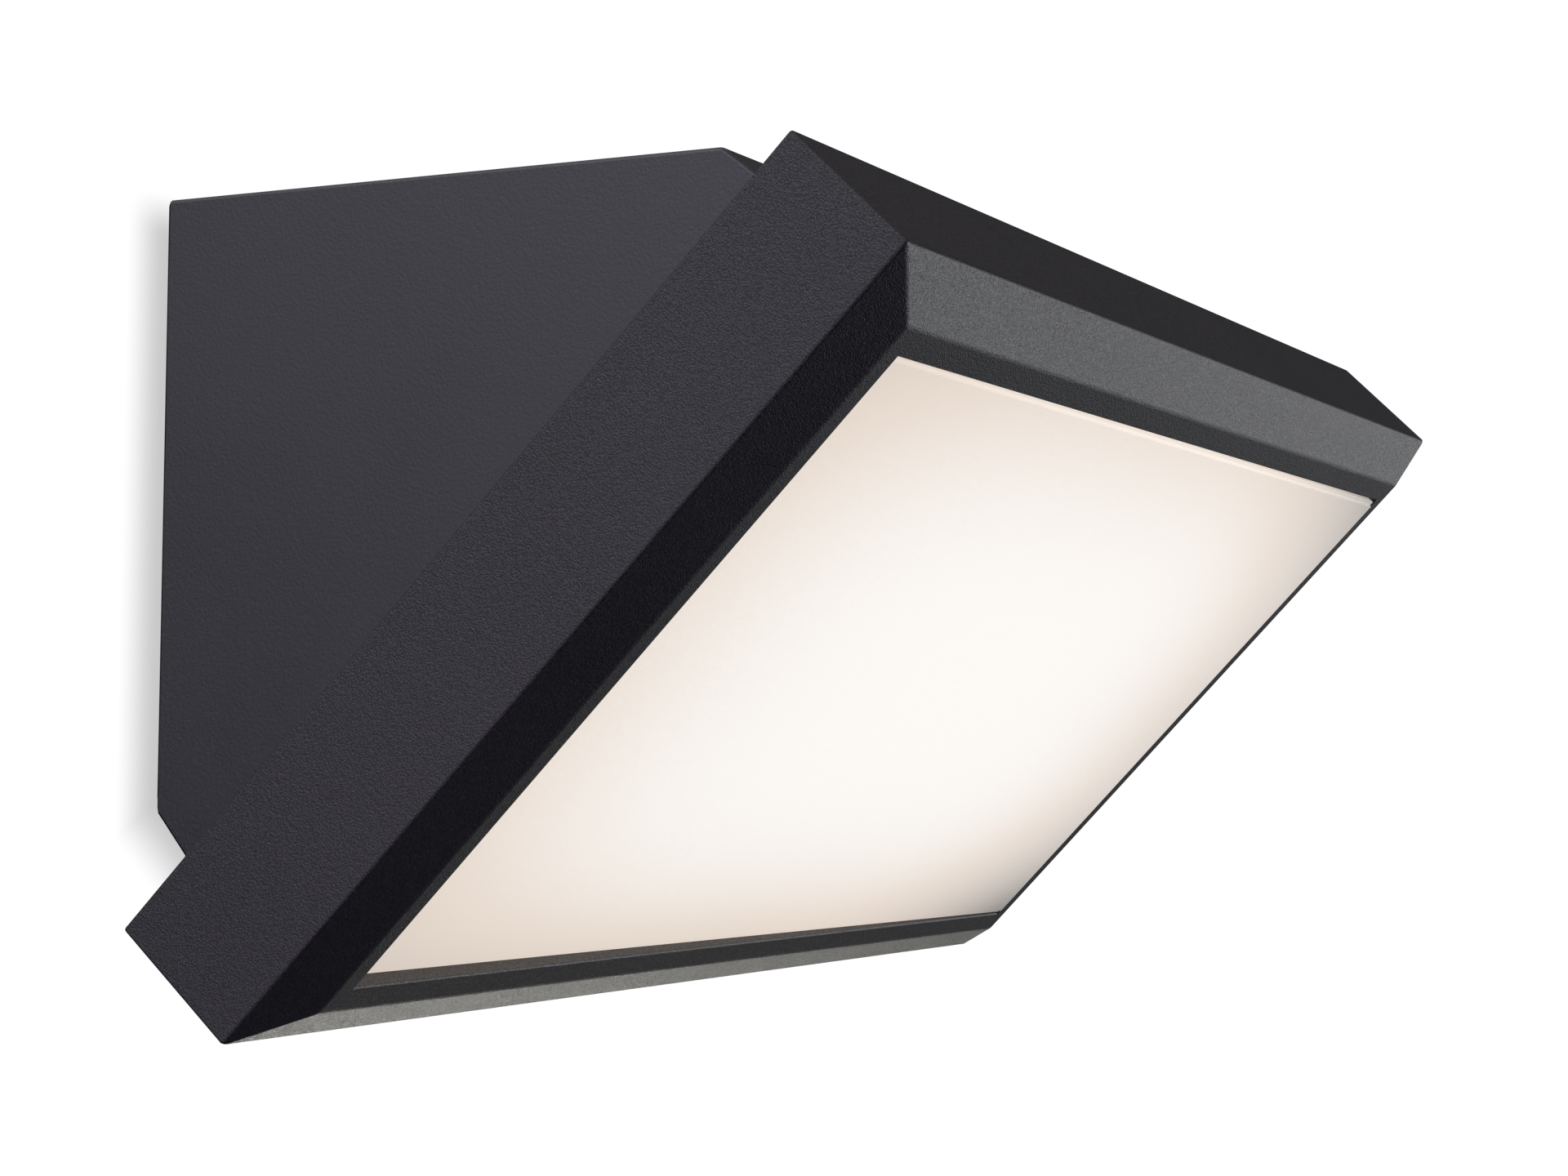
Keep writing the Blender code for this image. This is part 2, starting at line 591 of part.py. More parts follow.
# -------------------------------------------------------------------------------------- housing
def housing_section():
    """The wedge's outline as (world y, world z) points, from the top back corner round the front."""
    slope = math.radians(RIM_SLOPE)

    def reach_head(start, way):
        place, way = Vector((0.0, *start)), Vector((0.0, *way))
        return place + way * ((behind_head(place) - GAP) / way.dot(LIGHT_WAY))

    top_front = (-HOUSING_DEPTH, HOUSING_TOP)
    foot = (-RIM_TO_WALL, HOUSING_BOTTOM)
    upper = reach_head(top_front, (-math.cos(slope), -math.sin(slope)))
    lower = reach_head(foot, (-math.sin(slope), -math.cos(slope)))
    return [(-RIM_TO_WALL, HOUSING_TOP), top_front, upper.yz, lower.yz, foot]


def housing_half_width(place):
    """Half the drafted wedge's width at a world place, in millimetres."""
    draft = math.tan(math.radians(HOUSING_DRAFT))
    return HEAD_WIDTH / 2 - HOUSING_INSET - draft * behind_head(place)


def housing_surface():
    """The wedge's outer surface, left open at the wall; the section becomes its two sides."""
    mesh = plate_mesh("wedge_housing", [housing_section()], -1.0, 1.0)
    mesh.transform(Matrix(((0, 0, 1, 0), (1, 0, 0, 0), (0, 1, 0, 0), (0, 0, 0, 1))))
    bm = bmesh.new()
    bm.from_mesh(mesh)
    for corner in bm.verts:
        place = Vector((0.0, corner.co.y, corner.co.z)) / MM
        corner.co.x = math.copysign(housing_half_width(place) * MM, corner.co.x)
    at_wall = (-RIM_TO_WALL - 0.01) * MM
    back = [face for face in bm.faces if all(corner.co.y > at_wall for corner in face.verts)]
    bmesh.ops.delete(bm, geom=back, context="FACES_ONLY")
    bmesh.ops.recalc_face_normals(bm, faces=bm.faces)
    bpy.data.meshes.remove(mesh)
    return to_mesh("wedge_housing", bm)


def make_housing():
    housing = add_part("wedge_housing", housing_surface(), "housing_paint", None)
    shell = housing.modifiers.new("casting_wall", "SOLIDIFY")
    shell.thickness = HOUSING_WALL * MM
    shell.offset = -1.0
    shell.use_even_offset = True
    round_edges(housing, HOUSING_CORNER)
    bosses = {
        "plate_screw_bosses": (mirrored(*PLATE_SCREW), PLATE_BOSS_RADIUS, PLATE_BOSS_HEIGHT),
        "driver_bosses": (DRIVER_FEET, DRIVER_BOSS_RADIUS, BOSS_HEIGHT),
        "earth_boss": ([EARTH_PLACE], EARTH_BOSS_RADIUS, BOSS_HEIGHT),
    }
    for name, (places, radius, height) in bosses.items():
        join(housing, add_cutter(
            name, post_mesh(name, places, radius, INSIDE - height, INSIDE + BOSS_SINK), HEAD))
    tab_screws = [(TAB_SCREW[0], -TAB_SCREW[1]), (-TAB_SCREW[0], -TAB_SCREW[1])]
    join(housing, add_cutter("tab_bosses", post_mesh(
        "tab_bosses", tab_screws, TAB_BOSS_RADIUS, TAB_TOP + GAP, HOUSING_TOP - BOSS_SINK), None))
    cut(housing, add_cutter("tab_screw_holes", post_mesh(
        "tab_screw_holes", tab_screws, M4_HOLE, TAB_TOP - PAST, HOUSING_TOP + PAST), None))
    plate_screw_end = INSIDE - PLATE_BOSS_HEIGHT + 1.5     # a blind hole in the boss
    cut(housing, add_cutter("plate_screw_threads", post_mesh(
        "plate_screw_threads", mirrored(*PLATE_SCREW), M4_HOLE, plate_screw_end, PAST), HEAD))
    low, high = EARTH_SEAT - PAST, INSIDE + 1.0            # blind from the other side
    cut(housing, add_cutter("driver_screw_threads", post_mesh(
        "driver_screw_threads", DRIVER_FEET, M3_HOLE, low, high, sides=12), HEAD))
    cut(housing, add_cutter("earth_screw_thread", post_mesh(
        "earth_screw_thread", [EARTH_PLACE], M4_HOLE, low, high, sides=12), HEAD))
    cut(housing, add_cutter("lead_hole", post_mesh(
        "lead_hole", [(LEAD_HOLE_X, 0.0)], LEAD_HOLE_RADIUS, INSIDE - PAST, PAST), HEAD))


# --------------------------------------------------------------------------------------- driver
def make_driver():
    """A potted-type driver: an open case with two feet, a lid, and its board with two components."""
    wall, foot, foot_reach, foot_half = DRIVER_WALL, 2.2, 9.0, 5.0
    low = Vector((DRIVER_LOW_X, DRIVER_Y - DRIVER_HALF_Y, DRIVER_LID))
    high = Vector((DRIVER_HIGH_X, DRIVER_Y + DRIVER_HALF_Y, DRIVER_BASE))
    case = add_part("driver_case", block_mesh("driver_case", (low, high)), "driver_plastic", HEAD)
    feet = block_mesh("driver_feet", ((low.x - foot_reach, DRIVER_Y - foot_half, high.z - foot),
                                      (high.x + foot_reach, DRIVER_Y + foot_half, high.z)))
    join(case, add_cutter("driver_feet", feet, HEAD))
    hollow_high = high - Vector((wall, wall, wall))
    cut(case, add_cutter("driver_hollow", block_mesh("driver_hollow", (
        (low.x + wall, low.y + wall, low.z - PAST), hollow_high)), HEAD))
    cut(case, add_cutter("driver_foot_holes", post_mesh(
        "driver_foot_holes", DRIVER_FEET, M3_HOLE, high.z - foot - PAST, high.z + PAST, sides=12), HEAD))
    lead_hole = 1.8
    leads = [(DRIVER_Y - DRIVER_LEAD_Y, DRIVER_LEAD_Z), (DRIVER_Y + DRIVER_LEAD_Y, DRIVER_LEAD_Z)]
    cut(case, add_cutter("driver_lead_holes", post_mesh(
        "driver_lead_holes", leads, lead_hole, low.x - PAST, high.x + PAST, axis="X", sides=12), HEAD))
    add_part("driver_cover", block_mesh("driver_cover", (
        (low.x, low.y, low.z - GAP - wall), (high.x, high.y, low.z - GAP))), "driver_plastic", HEAD)
    board_gap, board_sheet, margin_x, margin_y = 2.0, 1.6, 3.0, 2.5
    board_top = hollow_high.z - board_gap
    add_part("driver_board", block_mesh("driver_board", (
        (low.x + margin_x, low.y + margin_y, board_top - board_sheet),
        (high.x - margin_x, high.y - margin_y, board_top))), "circuit_board", HEAD)
    under = board_top - board_sheet - GAP
    core_low, core_high, core_half, core_height = -44.0, -28.0, 8.0, 11.0
    add_part("driver_transformer", block_mesh("driver_transformer", (
        (core_low, DRIVER_Y - core_half, under - core_height), (core_high, DRIVER_Y + core_half, under))),
        "transformer_tape", HEAD)
    can_low, can_high, can_radius, can_clear = -22.0, -6.0, 4.8, 0.2
    add_part("driver_capacitor", post_mesh(
        "driver_capacitor", [(DRIVER_Y, under - can_radius - can_clear)], can_radius, can_low, can_high,
        axis="X"), "black_plastic", HEAD)
    screw = screw_mesh("driver_screw", M3_THREAD, 5.5, M3_STEPS)
    for number, (x, y) in enumerate(DRIVER_FEET, 1):
        add_part(f"driver_screw_{number}", screw, "stainless", HEAD, (x, y, high.z - foot - GAP),
                 (math.pi, 0.0, 0.0))


# ----------------------------------------------------------------------------------- wall parts
def make_wall_bracket():
    """A steel plate with slots for wall screws, a folded lower edge and two tapped top tabs."""
    half_x, low_y = 95.0, -28.0
    sheet = BRACKET_SHEET
    holes = [slot((-WALL_SLOT_X, 0.0), WALL_SLOT_LENGTH, WALL_SLOT_WIDTH),
             slot((WALL_SLOT_X, 0.0), WALL_SLOT_LENGTH, WALL_SLOT_WIDTH, upright=True),
             circle((CABLE_ENTRY_X, 0.0), CABLE_HOLE_RADIUS, 20),
             circle((TERMINAL_SCREW_X, 0.0), M3_HOLE, 12)]
    bracket = add_part("wall_bracket", plate_mesh("wall_bracket", [
        rectangle(-half_x, low_y, half_x, TAB_TOP)] + holes, 0.0, sheet), "zinc_steel", WALL)
    tab_x, tab_half, tab_reach, edge_reach = TAB_SCREW[0], 12.0, 16.0, 6.0
    folds = [((-half_x, low_y, sheet / 2), (half_x, low_y + sheet, edge_reach))]
    folds += [((x - tab_half, TAB_TOP - sheet, sheet / 2), (x + tab_half, TAB_TOP, tab_reach))
              for x in (-tab_x, tab_x)]
    for number, fold in enumerate(folds, 1):
        name = f"bracket_fold_{number}"
        join(bracket, add_cutter(name, block_mesh(name, fold), WALL))
    cut(bracket, add_cutter("tab_threads", post_mesh(
        "tab_threads", [(tab_x, TAB_SCREW[1]), (-tab_x, TAB_SCREW[1])], M4_HOLE,
        TAB_TOP - sheet - PAST, TAB_TOP + PAST, axis="Y"), WALL))


def make_wall_seal():
    """A foam ring under the housing's rim, which follows the drafted outline."""
    def outline(inset):
        points = []
        for height in (HOUSING_BOTTOM + inset, HOUSING_TOP - inset):
            half = housing_half_width(Vector((0.0, -RIM_TO_WALL, height))) - inset
            points.append((half, height))
        (low_half, low), (high_half, high) = points
        return [(-low_half, low), (low_half, low), (high_half, high), (-high_half, high)]

    mesh = plate_mesh("wall_seal", [outline(inset) for inset in SEAL_INSET], 0.0, RIM_TO_WALL - GAP)
    add_part("wall_seal", mesh, "black_rubber", WALL)


def make_cable_grommet():
    """A rubber ring in the bracket's cable hole, with a soft lip that grips the cable."""
    neck, seat, back = CABLE_HOLE_RADIUS - GAP, BRACKET_SHEET + GAP, 0.1
    flange, flange_top, rise, lip_top = 12.0, 3.0, 3.4, 4.6
    lip_edge, lip_foot, lip_bore, bore = 7.4, 8.2, 5.0, 5.6
    mesh = turned_mesh("cable_grommet", [
        (lip_bore, lip_top), (lip_edge, lip_top), (lip_foot, rise), (flange, flange_top),
        (flange, seat), (neck, seat), (neck, back), (bore, back)], steps=20, ring=True)
    add_part("cable_grommet", mesh, "black_rubber", WALL, (CABLE_ENTRY_X, 0.0, 0.0))


def make_housing_screws():
    washer = turned_mesh("housing_washer", [
        (WASHER_BORE, WASHER_SHEET), (WASHER_EDGE, WASHER_SHEET), (WASHER_EDGE, 0.0),
        (WASHER_BORE, 0.0)], steps=14, ring=True)
    screw = screw_mesh("housing_screw", M4_THREAD, HOUSING_SCREW_LENGTH, M4_STEPS)
    for side, sign in (("left", -1), ("right", 1)):
        x, y = sign * TAB_SCREW[0], -TAB_SCREW[1]
        add_part("housing_washer_" + side, washer, "black_rubber", None, (x, y, HOUSING_TOP + GAP))
        add_part("housing_screw_" + side, screw, "stainless", None,
                 (x, y, HOUSING_TOP + GAP + WASHER_SHEET + GAP))


def terminal_poles():
    return {"live": TERMINAL_X - TERMINAL_PITCH, "earth": TERMINAL_X,
            "neutral": TERMINAL_X + TERMINAL_PITCH}


def make_terminal_block():
    """Three push-in poles. Each has a sprung button in a well; pushing it in frees the wire."""
    low_z, high_z = BRACKET_SHEET + GAP, 17.3
    half_x, half_y = 11.5, TERMINAL_HALF_HEIGHT
    ear_x, ear_half, ear_sheet, overlap = TERMINAL_X + 19.3, 3.8, 3.0, 1.0
    centres = list(terminal_poles().values())
    body = add_part("terminal_block", block_mesh("terminal_block", (
        (TERMINAL_X - half_x, -half_y, low_z), (TERMINAL_X + half_x, half_y, high_z))),
        "terminal_grey", WALL)
    ear = block_mesh("terminal_ear", ((TERMINAL_X + half_x - overlap, -ear_half, low_z),
                                      (ear_x, ear_half, low_z + ear_sheet)))
    join(body, add_cutter("terminal_ear", ear, WALL))
    button_x, button_y, button_z, button_height = 1.9, 2.5, 7.0, 1.5
    well_depth, proud = 7.2, 2.0
    low_y, high_y = button_height - button_y - GAP, button_height + button_y + GAP
    wells = [((x - button_x - GAP, low_y, high_z - well_depth),
              (x + button_x + GAP, high_y, high_z + PAST)) for x in centres]
    cut(body, add_cutter("button_wells", block_mesh("button_wells", *wells), WALL))
    entries = [(x, TERMINAL_ENTRY) for x in centres]
    entry_depth, wire_entry, supply_entry = 4.0, 1.7, 1.9
    cut(body, add_cutter("wire_entries", post_mesh(
        "wire_entries", entries, wire_entry, half_y - entry_depth, half_y + PAST, axis="Y", sides=12),
        WALL))
    cut(body, add_cutter("supply_entries", post_mesh(
        "supply_entries", entries, supply_entry, -half_y - PAST, entry_depth - half_y, axis="Y",
        sides=12), WALL))
    cut(body, add_cutter("ear_hole", post_mesh(
        "ear_hole", [(TERMINAL_SCREW_X, 0.0)], M3_HOLE, low_z - PAST, low_z + ear_sheet + PAST,
        sides=12), WALL))
    screw = screw_mesh("terminal_screw", M3_THREAD, ear_sheet + GAP + BRACKET_SHEET, M3_STEPS)
    add_part("terminal_screw", screw, "stainless", WALL,
             (TERMINAL_SCREW_X, 0.0, low_z + ear_sheet + GAP))
    button = block_mesh("release_button", ((-button_x, -button_y, -button_z / 2),
                                           (button_x, button_y, button_z / 2)))
    for pole, x in terminal_poles().items():
        part = add_part("release_button_" + pole, button, "button_orange", WALL,
                        (x, button_height, high_z + proud - button_z / 2))
        round_edges(part, 0.35, segments=1)


def make_earth_point():
    x, y = EARTH_PLACE
    outlines = [circle((0.0, 0.0), EARTH_BOSS_RADIUS, 16), circle((0.0, 0.0), M4_HOLE, 12)]
    mesh = plate_mesh("earth_lug", outlines, -LUG_SHEET, 0.0)
    part = add_part("earth_lug", mesh, "zinc_steel", HEAD, (x, y, EARTH_SEAT - GAP))
    tail_half = 1.6
    tail = block_mesh("lug_tail", ((x - tail_half, y + 3.0, EARTH_SEAT - GAP - LUG_SHEET),
                                   (x + tail_half, y + LUG_TAIL, EARTH_SEAT - GAP)))
    join(part, add_cutter("lug_tail", tail, HEAD))
    add_part("earth_screw", screw_mesh("earth_screw", M4_THREAD, 5.5, M4_STEPS), "stainless", HEAD,
             (x, y, EARTH_SEAT - 2 * GAP - LUG_SHEET), (math.pi, 0.0, 0.0))


def make_leads():
    """The wires inside the housing and the head, along their real routes."""
    poles = terminal_poles()
    entry = from_wall(0.0, TERMINAL_HALF_HEIGHT, TERMINAL_ENTRY)
    up, out = Vector((0.0, 0.0, 1.0)), Vector((0.0, -1.0, 0.0))
    for pole, side, colour in (("live", -1.0, "brown_pvc"), ("neutral", 1.0, "blue_pvc")):
        start = entry + Vector((poles[pole], 0.0, 0.0))
        y, z = DRIVER_Y + DRIVER_LEAD_Y * side, DRIVER_LEAD_Z
        add_lead("lead_" + pole, [
            start - up * 3.0, start + up * 2.0, start + up * 8.0 + out + Vector((-2.0, 0.0, 0.0)),
            start + up * 13.0 + out * 6.0 + Vector((-12.0, 0.0, 0.0)),
            from_head(DRIVER_HIGH_X + 22.0, y, z - 1.0), from_head(DRIVER_HIGH_X + 7.0, y, z),
            from_head(DRIVER_HIGH_X - 1.0, y, z)], MAINS_LEAD_RADIUS, colour)
    start = entry + Vector((poles["earth"], 0.0, 0.0))
    lug_x, lug_y = EARTH_PLACE
    tail = from_head(lug_x, lug_y + LUG_TAIL + GAP, EARTH_SEAT - GAP - LUG_SHEET / 2)
    add_lead("lead_earth", [
        start - up * 3.0, start + up * 2.0, start + up * 8.0 + out,
        start + up * 12.0 + out * 12.0 + Vector((-4.0, 0.0, 0.0)),
        from_head(lug_x + 8.0, lug_y + 34.0, -19.0), from_head(lug_x + 1.0, lug_y + 20.0, -10.0),
        tail + SLOPE_UP * 4.0, tail], MAINS_LEAD_RADIUS, "green_yellow_pvc")
    floor = BOARD_LAYER[1] + GAP
    for name, side, colour in (("positive", 1.0, "red_pvc"), ("negative", -1.0, "black_pvc")):
        y, beside = DRIVER_Y + DRIVER_LEAD_Y * side, 1.2 * side
        add_lead("led_lead_" + name, [
            from_head(DRIVER_LOW_X + 1.0, y, DRIVER_LEAD_Z),
            from_head(DRIVER_LOW_X - 6.0, y, DRIVER_LEAD_Z),
            from_head(LEAD_HOLE_X + 7.0, y + (beside - y) * 0.4, DRIVER_LEAD_Z + 3.5),
            from_head(LEAD_HOLE_X + 0.5, y + (beside - y) * 0.8, DRIVER_LEAD_Z + 10.0),
            from_head(LEAD_HOLE_X, beside, -6.0), from_head(LEAD_HOLE_X, beside, 1.0),
            from_head(LEAD_HOLE_X + 0.2, beside, floor - 1.0),
            from_head(LEAD_HOLE_X + 2.5, beside * 1.2, floor + 1.7),
            from_head(CONNECTOR_LOW[0] - GAP, beside * 1.4, floor + 1.6)], LED_LEAD_RADIUS, colour)


clear_scene()
PARTS = new_collection("wall_lantern")
CUTTERS = new_collection("wall_lantern_cutters")
WALL = add_axis("wall_axis", (0.0, 0.0, 0.0), (math.pi / 2, 0.0, 0.0))
HEAD = add_axis("head_axis", HEAD_CENTRE * MM, (math.pi - TILT, 0.0, 0.0))

make_head_frame()
make_back_plate()
make_head_gasket()
make_diffuser()
make_light_engine()
add_reflector_tray()
add_head_screws()
add_lead_grommet()
make_housing()
make_driver()
make_wall_bracket()
make_wall_seal()
make_cable_grommet()
make_housing_screws()
make_terminal_block()
make_earth_point()
make_leads()
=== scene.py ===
import json
import math

import bmesh
import bpy
from mathutils import Matrix, Vector


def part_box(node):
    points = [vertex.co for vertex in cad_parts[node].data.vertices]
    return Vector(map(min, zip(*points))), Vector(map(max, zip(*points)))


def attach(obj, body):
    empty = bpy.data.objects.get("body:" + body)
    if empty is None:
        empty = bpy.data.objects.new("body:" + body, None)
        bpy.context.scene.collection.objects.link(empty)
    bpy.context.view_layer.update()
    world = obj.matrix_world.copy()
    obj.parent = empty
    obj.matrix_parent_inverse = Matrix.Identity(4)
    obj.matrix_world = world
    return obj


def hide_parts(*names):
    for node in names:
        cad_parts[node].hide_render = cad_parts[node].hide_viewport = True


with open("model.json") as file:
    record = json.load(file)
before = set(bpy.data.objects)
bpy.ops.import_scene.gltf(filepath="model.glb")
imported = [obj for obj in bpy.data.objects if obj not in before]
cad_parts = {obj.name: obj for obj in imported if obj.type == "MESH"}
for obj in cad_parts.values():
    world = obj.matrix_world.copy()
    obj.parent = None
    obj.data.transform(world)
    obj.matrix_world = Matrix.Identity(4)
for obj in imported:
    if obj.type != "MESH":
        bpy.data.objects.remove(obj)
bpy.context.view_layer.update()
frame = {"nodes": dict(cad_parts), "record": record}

NODES = frame["nodes"]
BODY = "luminaire"
MM = 0.001

# ------------------------------------------------------------------ sizes, in millimetres
HEAD_HALF_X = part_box("head_frame")[1].x / MM
HEAD_HALF_Y = 61.65            # half the head's side, up the slope
HEAD_TILT = math.radians(45.5)  # between the head's back plane and the wall
HEAD_EDGE = 19.0               # height of the head's four side faces, along the light
FRONT = 22.5                   # height of the bezel over the head's back plane
CHAMFER = 8.1                  # the front chamfer's width in the head's plane
BEZEL = 3.9                    # flat strip between the chamfer and the window
HEAD_WALL_GAP = 0.5            # the head's lower back edge stands this far off the wall
FRAME_WALL = 2.0
LIP_UNDERSIDE = 19.7           # the bezel lip's back face, along the light
CAVITY_TOP = 17.2              # the frame's cavity narrows from here to the lip
CAVITY_SHOULDER = 4.0          # by this much
HEAD_EDGE_RADIUS = 0.38
DIFFUSER_EDGE_RADIUS = 0.15
WINDOW_X = HEAD_HALF_X - CHAMFER - BEZEL
WINDOW_Y = HEAD_HALF_Y - CHAMFER - BEZEL
SLOPE_UP = Vector((0.0, -math.cos(HEAD_TILT), math.sin(HEAD_TILT)))
LIGHT_WAY = Vector((0.0, -math.sin(HEAD_TILT), -math.cos(HEAD_TILT)))
HOUSING_FOOT = 13.8            # the housing's lower edge above the head's lower back edge
HEAD_RISE = 2 * HEAD_HALF_Y * math.sin(HEAD_TILT)
HEAD_FOOT = Vector((0.0, -HEAD_WALL_GAP, -(HEAD_RISE + HOUSING_FOOT) / 2))
HEAD_CENTRE = HEAD_FOOT + SLOPE_UP * HEAD_HALF_Y
HOUSING_TOP = HEAD_FOOT.z + HEAD_RISE
HOUSING_BOTTOM = HEAD_FOOT.z + HOUSING_FOOT
HOUSING_DEPTH = 75.9           # from the wall to the end of the flat top
HOUSING_INSET = 5.9            # the head overhangs the housing by this much on each side
HOUSING_DRAFT = math.tan(math.radians(3.0))  # narrows the housing away from the head
RIM_SLOPE = math.radians(38.5)  # of the short faces between the housing and the head
RIM_TO_WALL = 0.8              # room for the wall seal
HOUSING_WALL = 2.5
HOUSING_TO_HEAD = 0.3          # clearance between the housing and the head's back
HOUSING_EDGE_RADIUS = 0.5

HEAD_PLACE = Matrix.Translation(HEAD_CENTRE * MM) @ Matrix.Rotation(math.pi - HEAD_TILT, 4, "X")


# ------------------------------------------------------------------------------ materials
class Finish:
    """A node material under construction, with the object's own coordinates in metres."""

    def __init__(self, name):
        self.material = bpy.data.materials.new(name)
        self.material.use_nodes = True
        self.tree = self.material.node_tree
        self.shader = self.tree.nodes["Principled BSDF"]
        self.place = self.node("ShaderNodeTexCoord").outputs["Object"]

    def node(self, kind, **settings):
        made = self.tree.nodes.new(kind)
        for key, value in settings.items():
            setattr(made, key, value)
        return made

    def feed(self, target, value):
        if isinstance(value, bpy.types.NodeSocket):
            self.tree.links.new(value, target)
        else:
            target.default_value = value

    def stretched(self, scale, turn=(0.0, 0.0, 0.0)):
        """The object's coordinates, drawn out along an axis whose scale is below 1."""
        mapping = self.node("ShaderNodeMapping")
        self.feed(mapping.inputs["Vector"], self.place)
        mapping.inputs["Scale"].default_value = scale
        mapping.inputs["Rotation"].default_value = turn
        return mapping.outputs["Vector"]

    def noise(self, scale, detail, roughness, at=None, distortion=0.0):
        made = self.node("ShaderNodeTexNoise")
        self.feed(made.inputs["Vector"], at or self.place)
        made.inputs["Scale"].default_value = scale
        made.inputs["Detail"].default_value = detail
        made.inputs["Roughness"].default_value = roughness
        made.inputs["Distortion"].default_value = distortion
        return made.outputs["Fac"]

    def cells(self, scale, smooth):
        made = self.node("ShaderNodeTexVoronoi", feature="SMOOTH_F1")
        self.feed(made.inputs["Vector"], self.place)
        made.inputs["Scale"].default_value = scale
        made.inputs["Smoothness"].default_value = smooth
        return made.outputs["Distance"]

    def math(self, operation, first, second=0.0):
        made = self.node("ShaderNodeMath", operation=operation)
        for socket, value in zip(made.inputs, (first, second)):
            self.feed(socket, value)
        return made.outputs[0]

    def span(self, value, low, high, to_low=0.0, to_high=1.0):
        """A smooth ramp from to_low, at low and under it, to to_high, at high and over it."""
        made = self.node("ShaderNodeMapRange", clamp=True, interpolation_type="SMOOTHSTEP")
        for key, number in (("Value", value), ("From Min", low), ("From Max", high),
                            ("To Min", to_low), ("To Max", to_high)):
            self.feed(made.inputs[key], number)
        return made.outputs["Result"]

    def blend(self, share, first, second):
        made = self.node("ShaderNodeMix", data_type="RGBA")
        self.feed(made.inputs["Factor"], share)
        for socket, colour in ((made.inputs[6], first), (made.inputs[7], second)):
            self.feed(socket, (*colour, 1.0) if isinstance(colour, tuple) else colour)
        return made.outputs[2]

    def bump(self, height, depth_mm, strength, normal=None):
        made = self.node("ShaderNodeBump")
        made.inputs["Strength"].default_value = strength
        made.inputs["Distance"].default_value = depth_mm * MM
        self.feed(made.inputs["Height"], height)
        if normal is not None:
            self.feed(made.inputs["Normal"], normal)
        return made.outputs["Normal"]

    def set(self, **values):
        for key, value in values.items():
            name = key.replace("_", " ").title().replace("Ior", "IOR")
            if isinstance(value, tuple) and len(value) == 3:
                value = (*value, 1.0)
            self.feed(self.shader.inputs[name], value)
        return self.material


COATING_IOR = 1.5              # of paint, plastic and rubber


def housing_paint():
    """Satin anthracite powder coat, smooth, with faint clouds, rubbed streaks and fine grain."""
    f = Finish("lantern_housing_paint")
    clouds = f.noise(26.0, detail=3.0, roughness=0.55, distortion=0.6)
    tint = f.noise(11.0, detail=2.0, roughness=0.5)
    streaks = f.noise(9.0, detail=4.0, roughness=0.6, at=f.stretched((1.0, 1.0, 0.16), (0.75, 0.0, 0.0)))
    base = f.blend(f.span(clouds, 0.35, 0.68), (0.0150, 0.0150, 0.0190), (0.0205, 0.0200, 0.0235))
    base = f.blend(f.span(tint, 0.45, 0.75, 0.0, 0.45), base, (0.0215, 0.0190, 0.0195))
    base = f.blend(f.span(streaks, 0.60, 0.74, 0.0, 0.5), base, (0.0105, 0.0105, 0.0130))
    grain = f.noise(2400.0, detail=3.0, roughness=0.65)
    base = f.blend(f.span(grain, 0.56, 0.72, 0.0, 0.6), base, (0.0330, 0.0320, 0.0360))
    orange_peel = f.noise(420.0, detail=2.0, roughness=0.5)
    rough = f.math("ADD", f.span(clouds, 0.3, 0.7, 0.29, 0.36), f.span(grain, 0.3, 0.7, -0.05, 0.07))
    normal = f.bump(orange_peel, depth_mm=0.012, strength=0.5)
    normal = f.bump(grain, depth_mm=0.034, strength=0.9, normal=normal)
    return f.set(base_color=base, roughness=rough, normal=normal, ior=COATING_IOR)


def head_coating():
    """Textured anthracite powder coat: a fine pebble grain, with a painted highlight on its raised tips.
    """
    f = Finish("lantern_head_coating")
    warp = f.noise(2300.0, detail=3.0, roughness=0.6)
    pebbles = f.cells(4600.0, smooth=0.35)
    fine = f.noise(6000.0, detail=2.0, roughness=0.6)
    clouds = f.noise(30.0, detail=3.0, roughness=0.5)
    height = f.math("ADD", f.math("MULTIPLY", pebbles, -1.0), f.math("MULTIPLY", warp, 0.6))
    height = f.math("ADD", height, f.math("MULTIPLY", fine, 0.4))
    # painted highlight: the colour is lighter on the grain's raised tips, which are also made glossier
    painted_tip_highlight = f.span(height, -0.08, 0.32)
    base = f.blend(f.span(clouds, 0.35, 0.7), (0.0120, 0.0118, 0.0140), (0.0155, 0.0150, 0.0175))
    base = f.blend(painted_tip_highlight, base, (0.0370, 0.0350, 0.0410))
    rough = f.math("SUBTRACT", f.span(warp, 0.3, 0.7, 0.41, 0.61), f.math("MULTIPLY", painted_tip_highlight, 0.12))
    normal = f.bump(f.noise(2100.0, detail=2.0, roughness=0.6), depth_mm=0.028, strength=1.0)
    normal = f.bump(height, depth_mm=0.052, strength=0.9, normal=normal)
    return f.set(base_color=base, roughness=rough, normal=normal, ior=COATING_IOR)


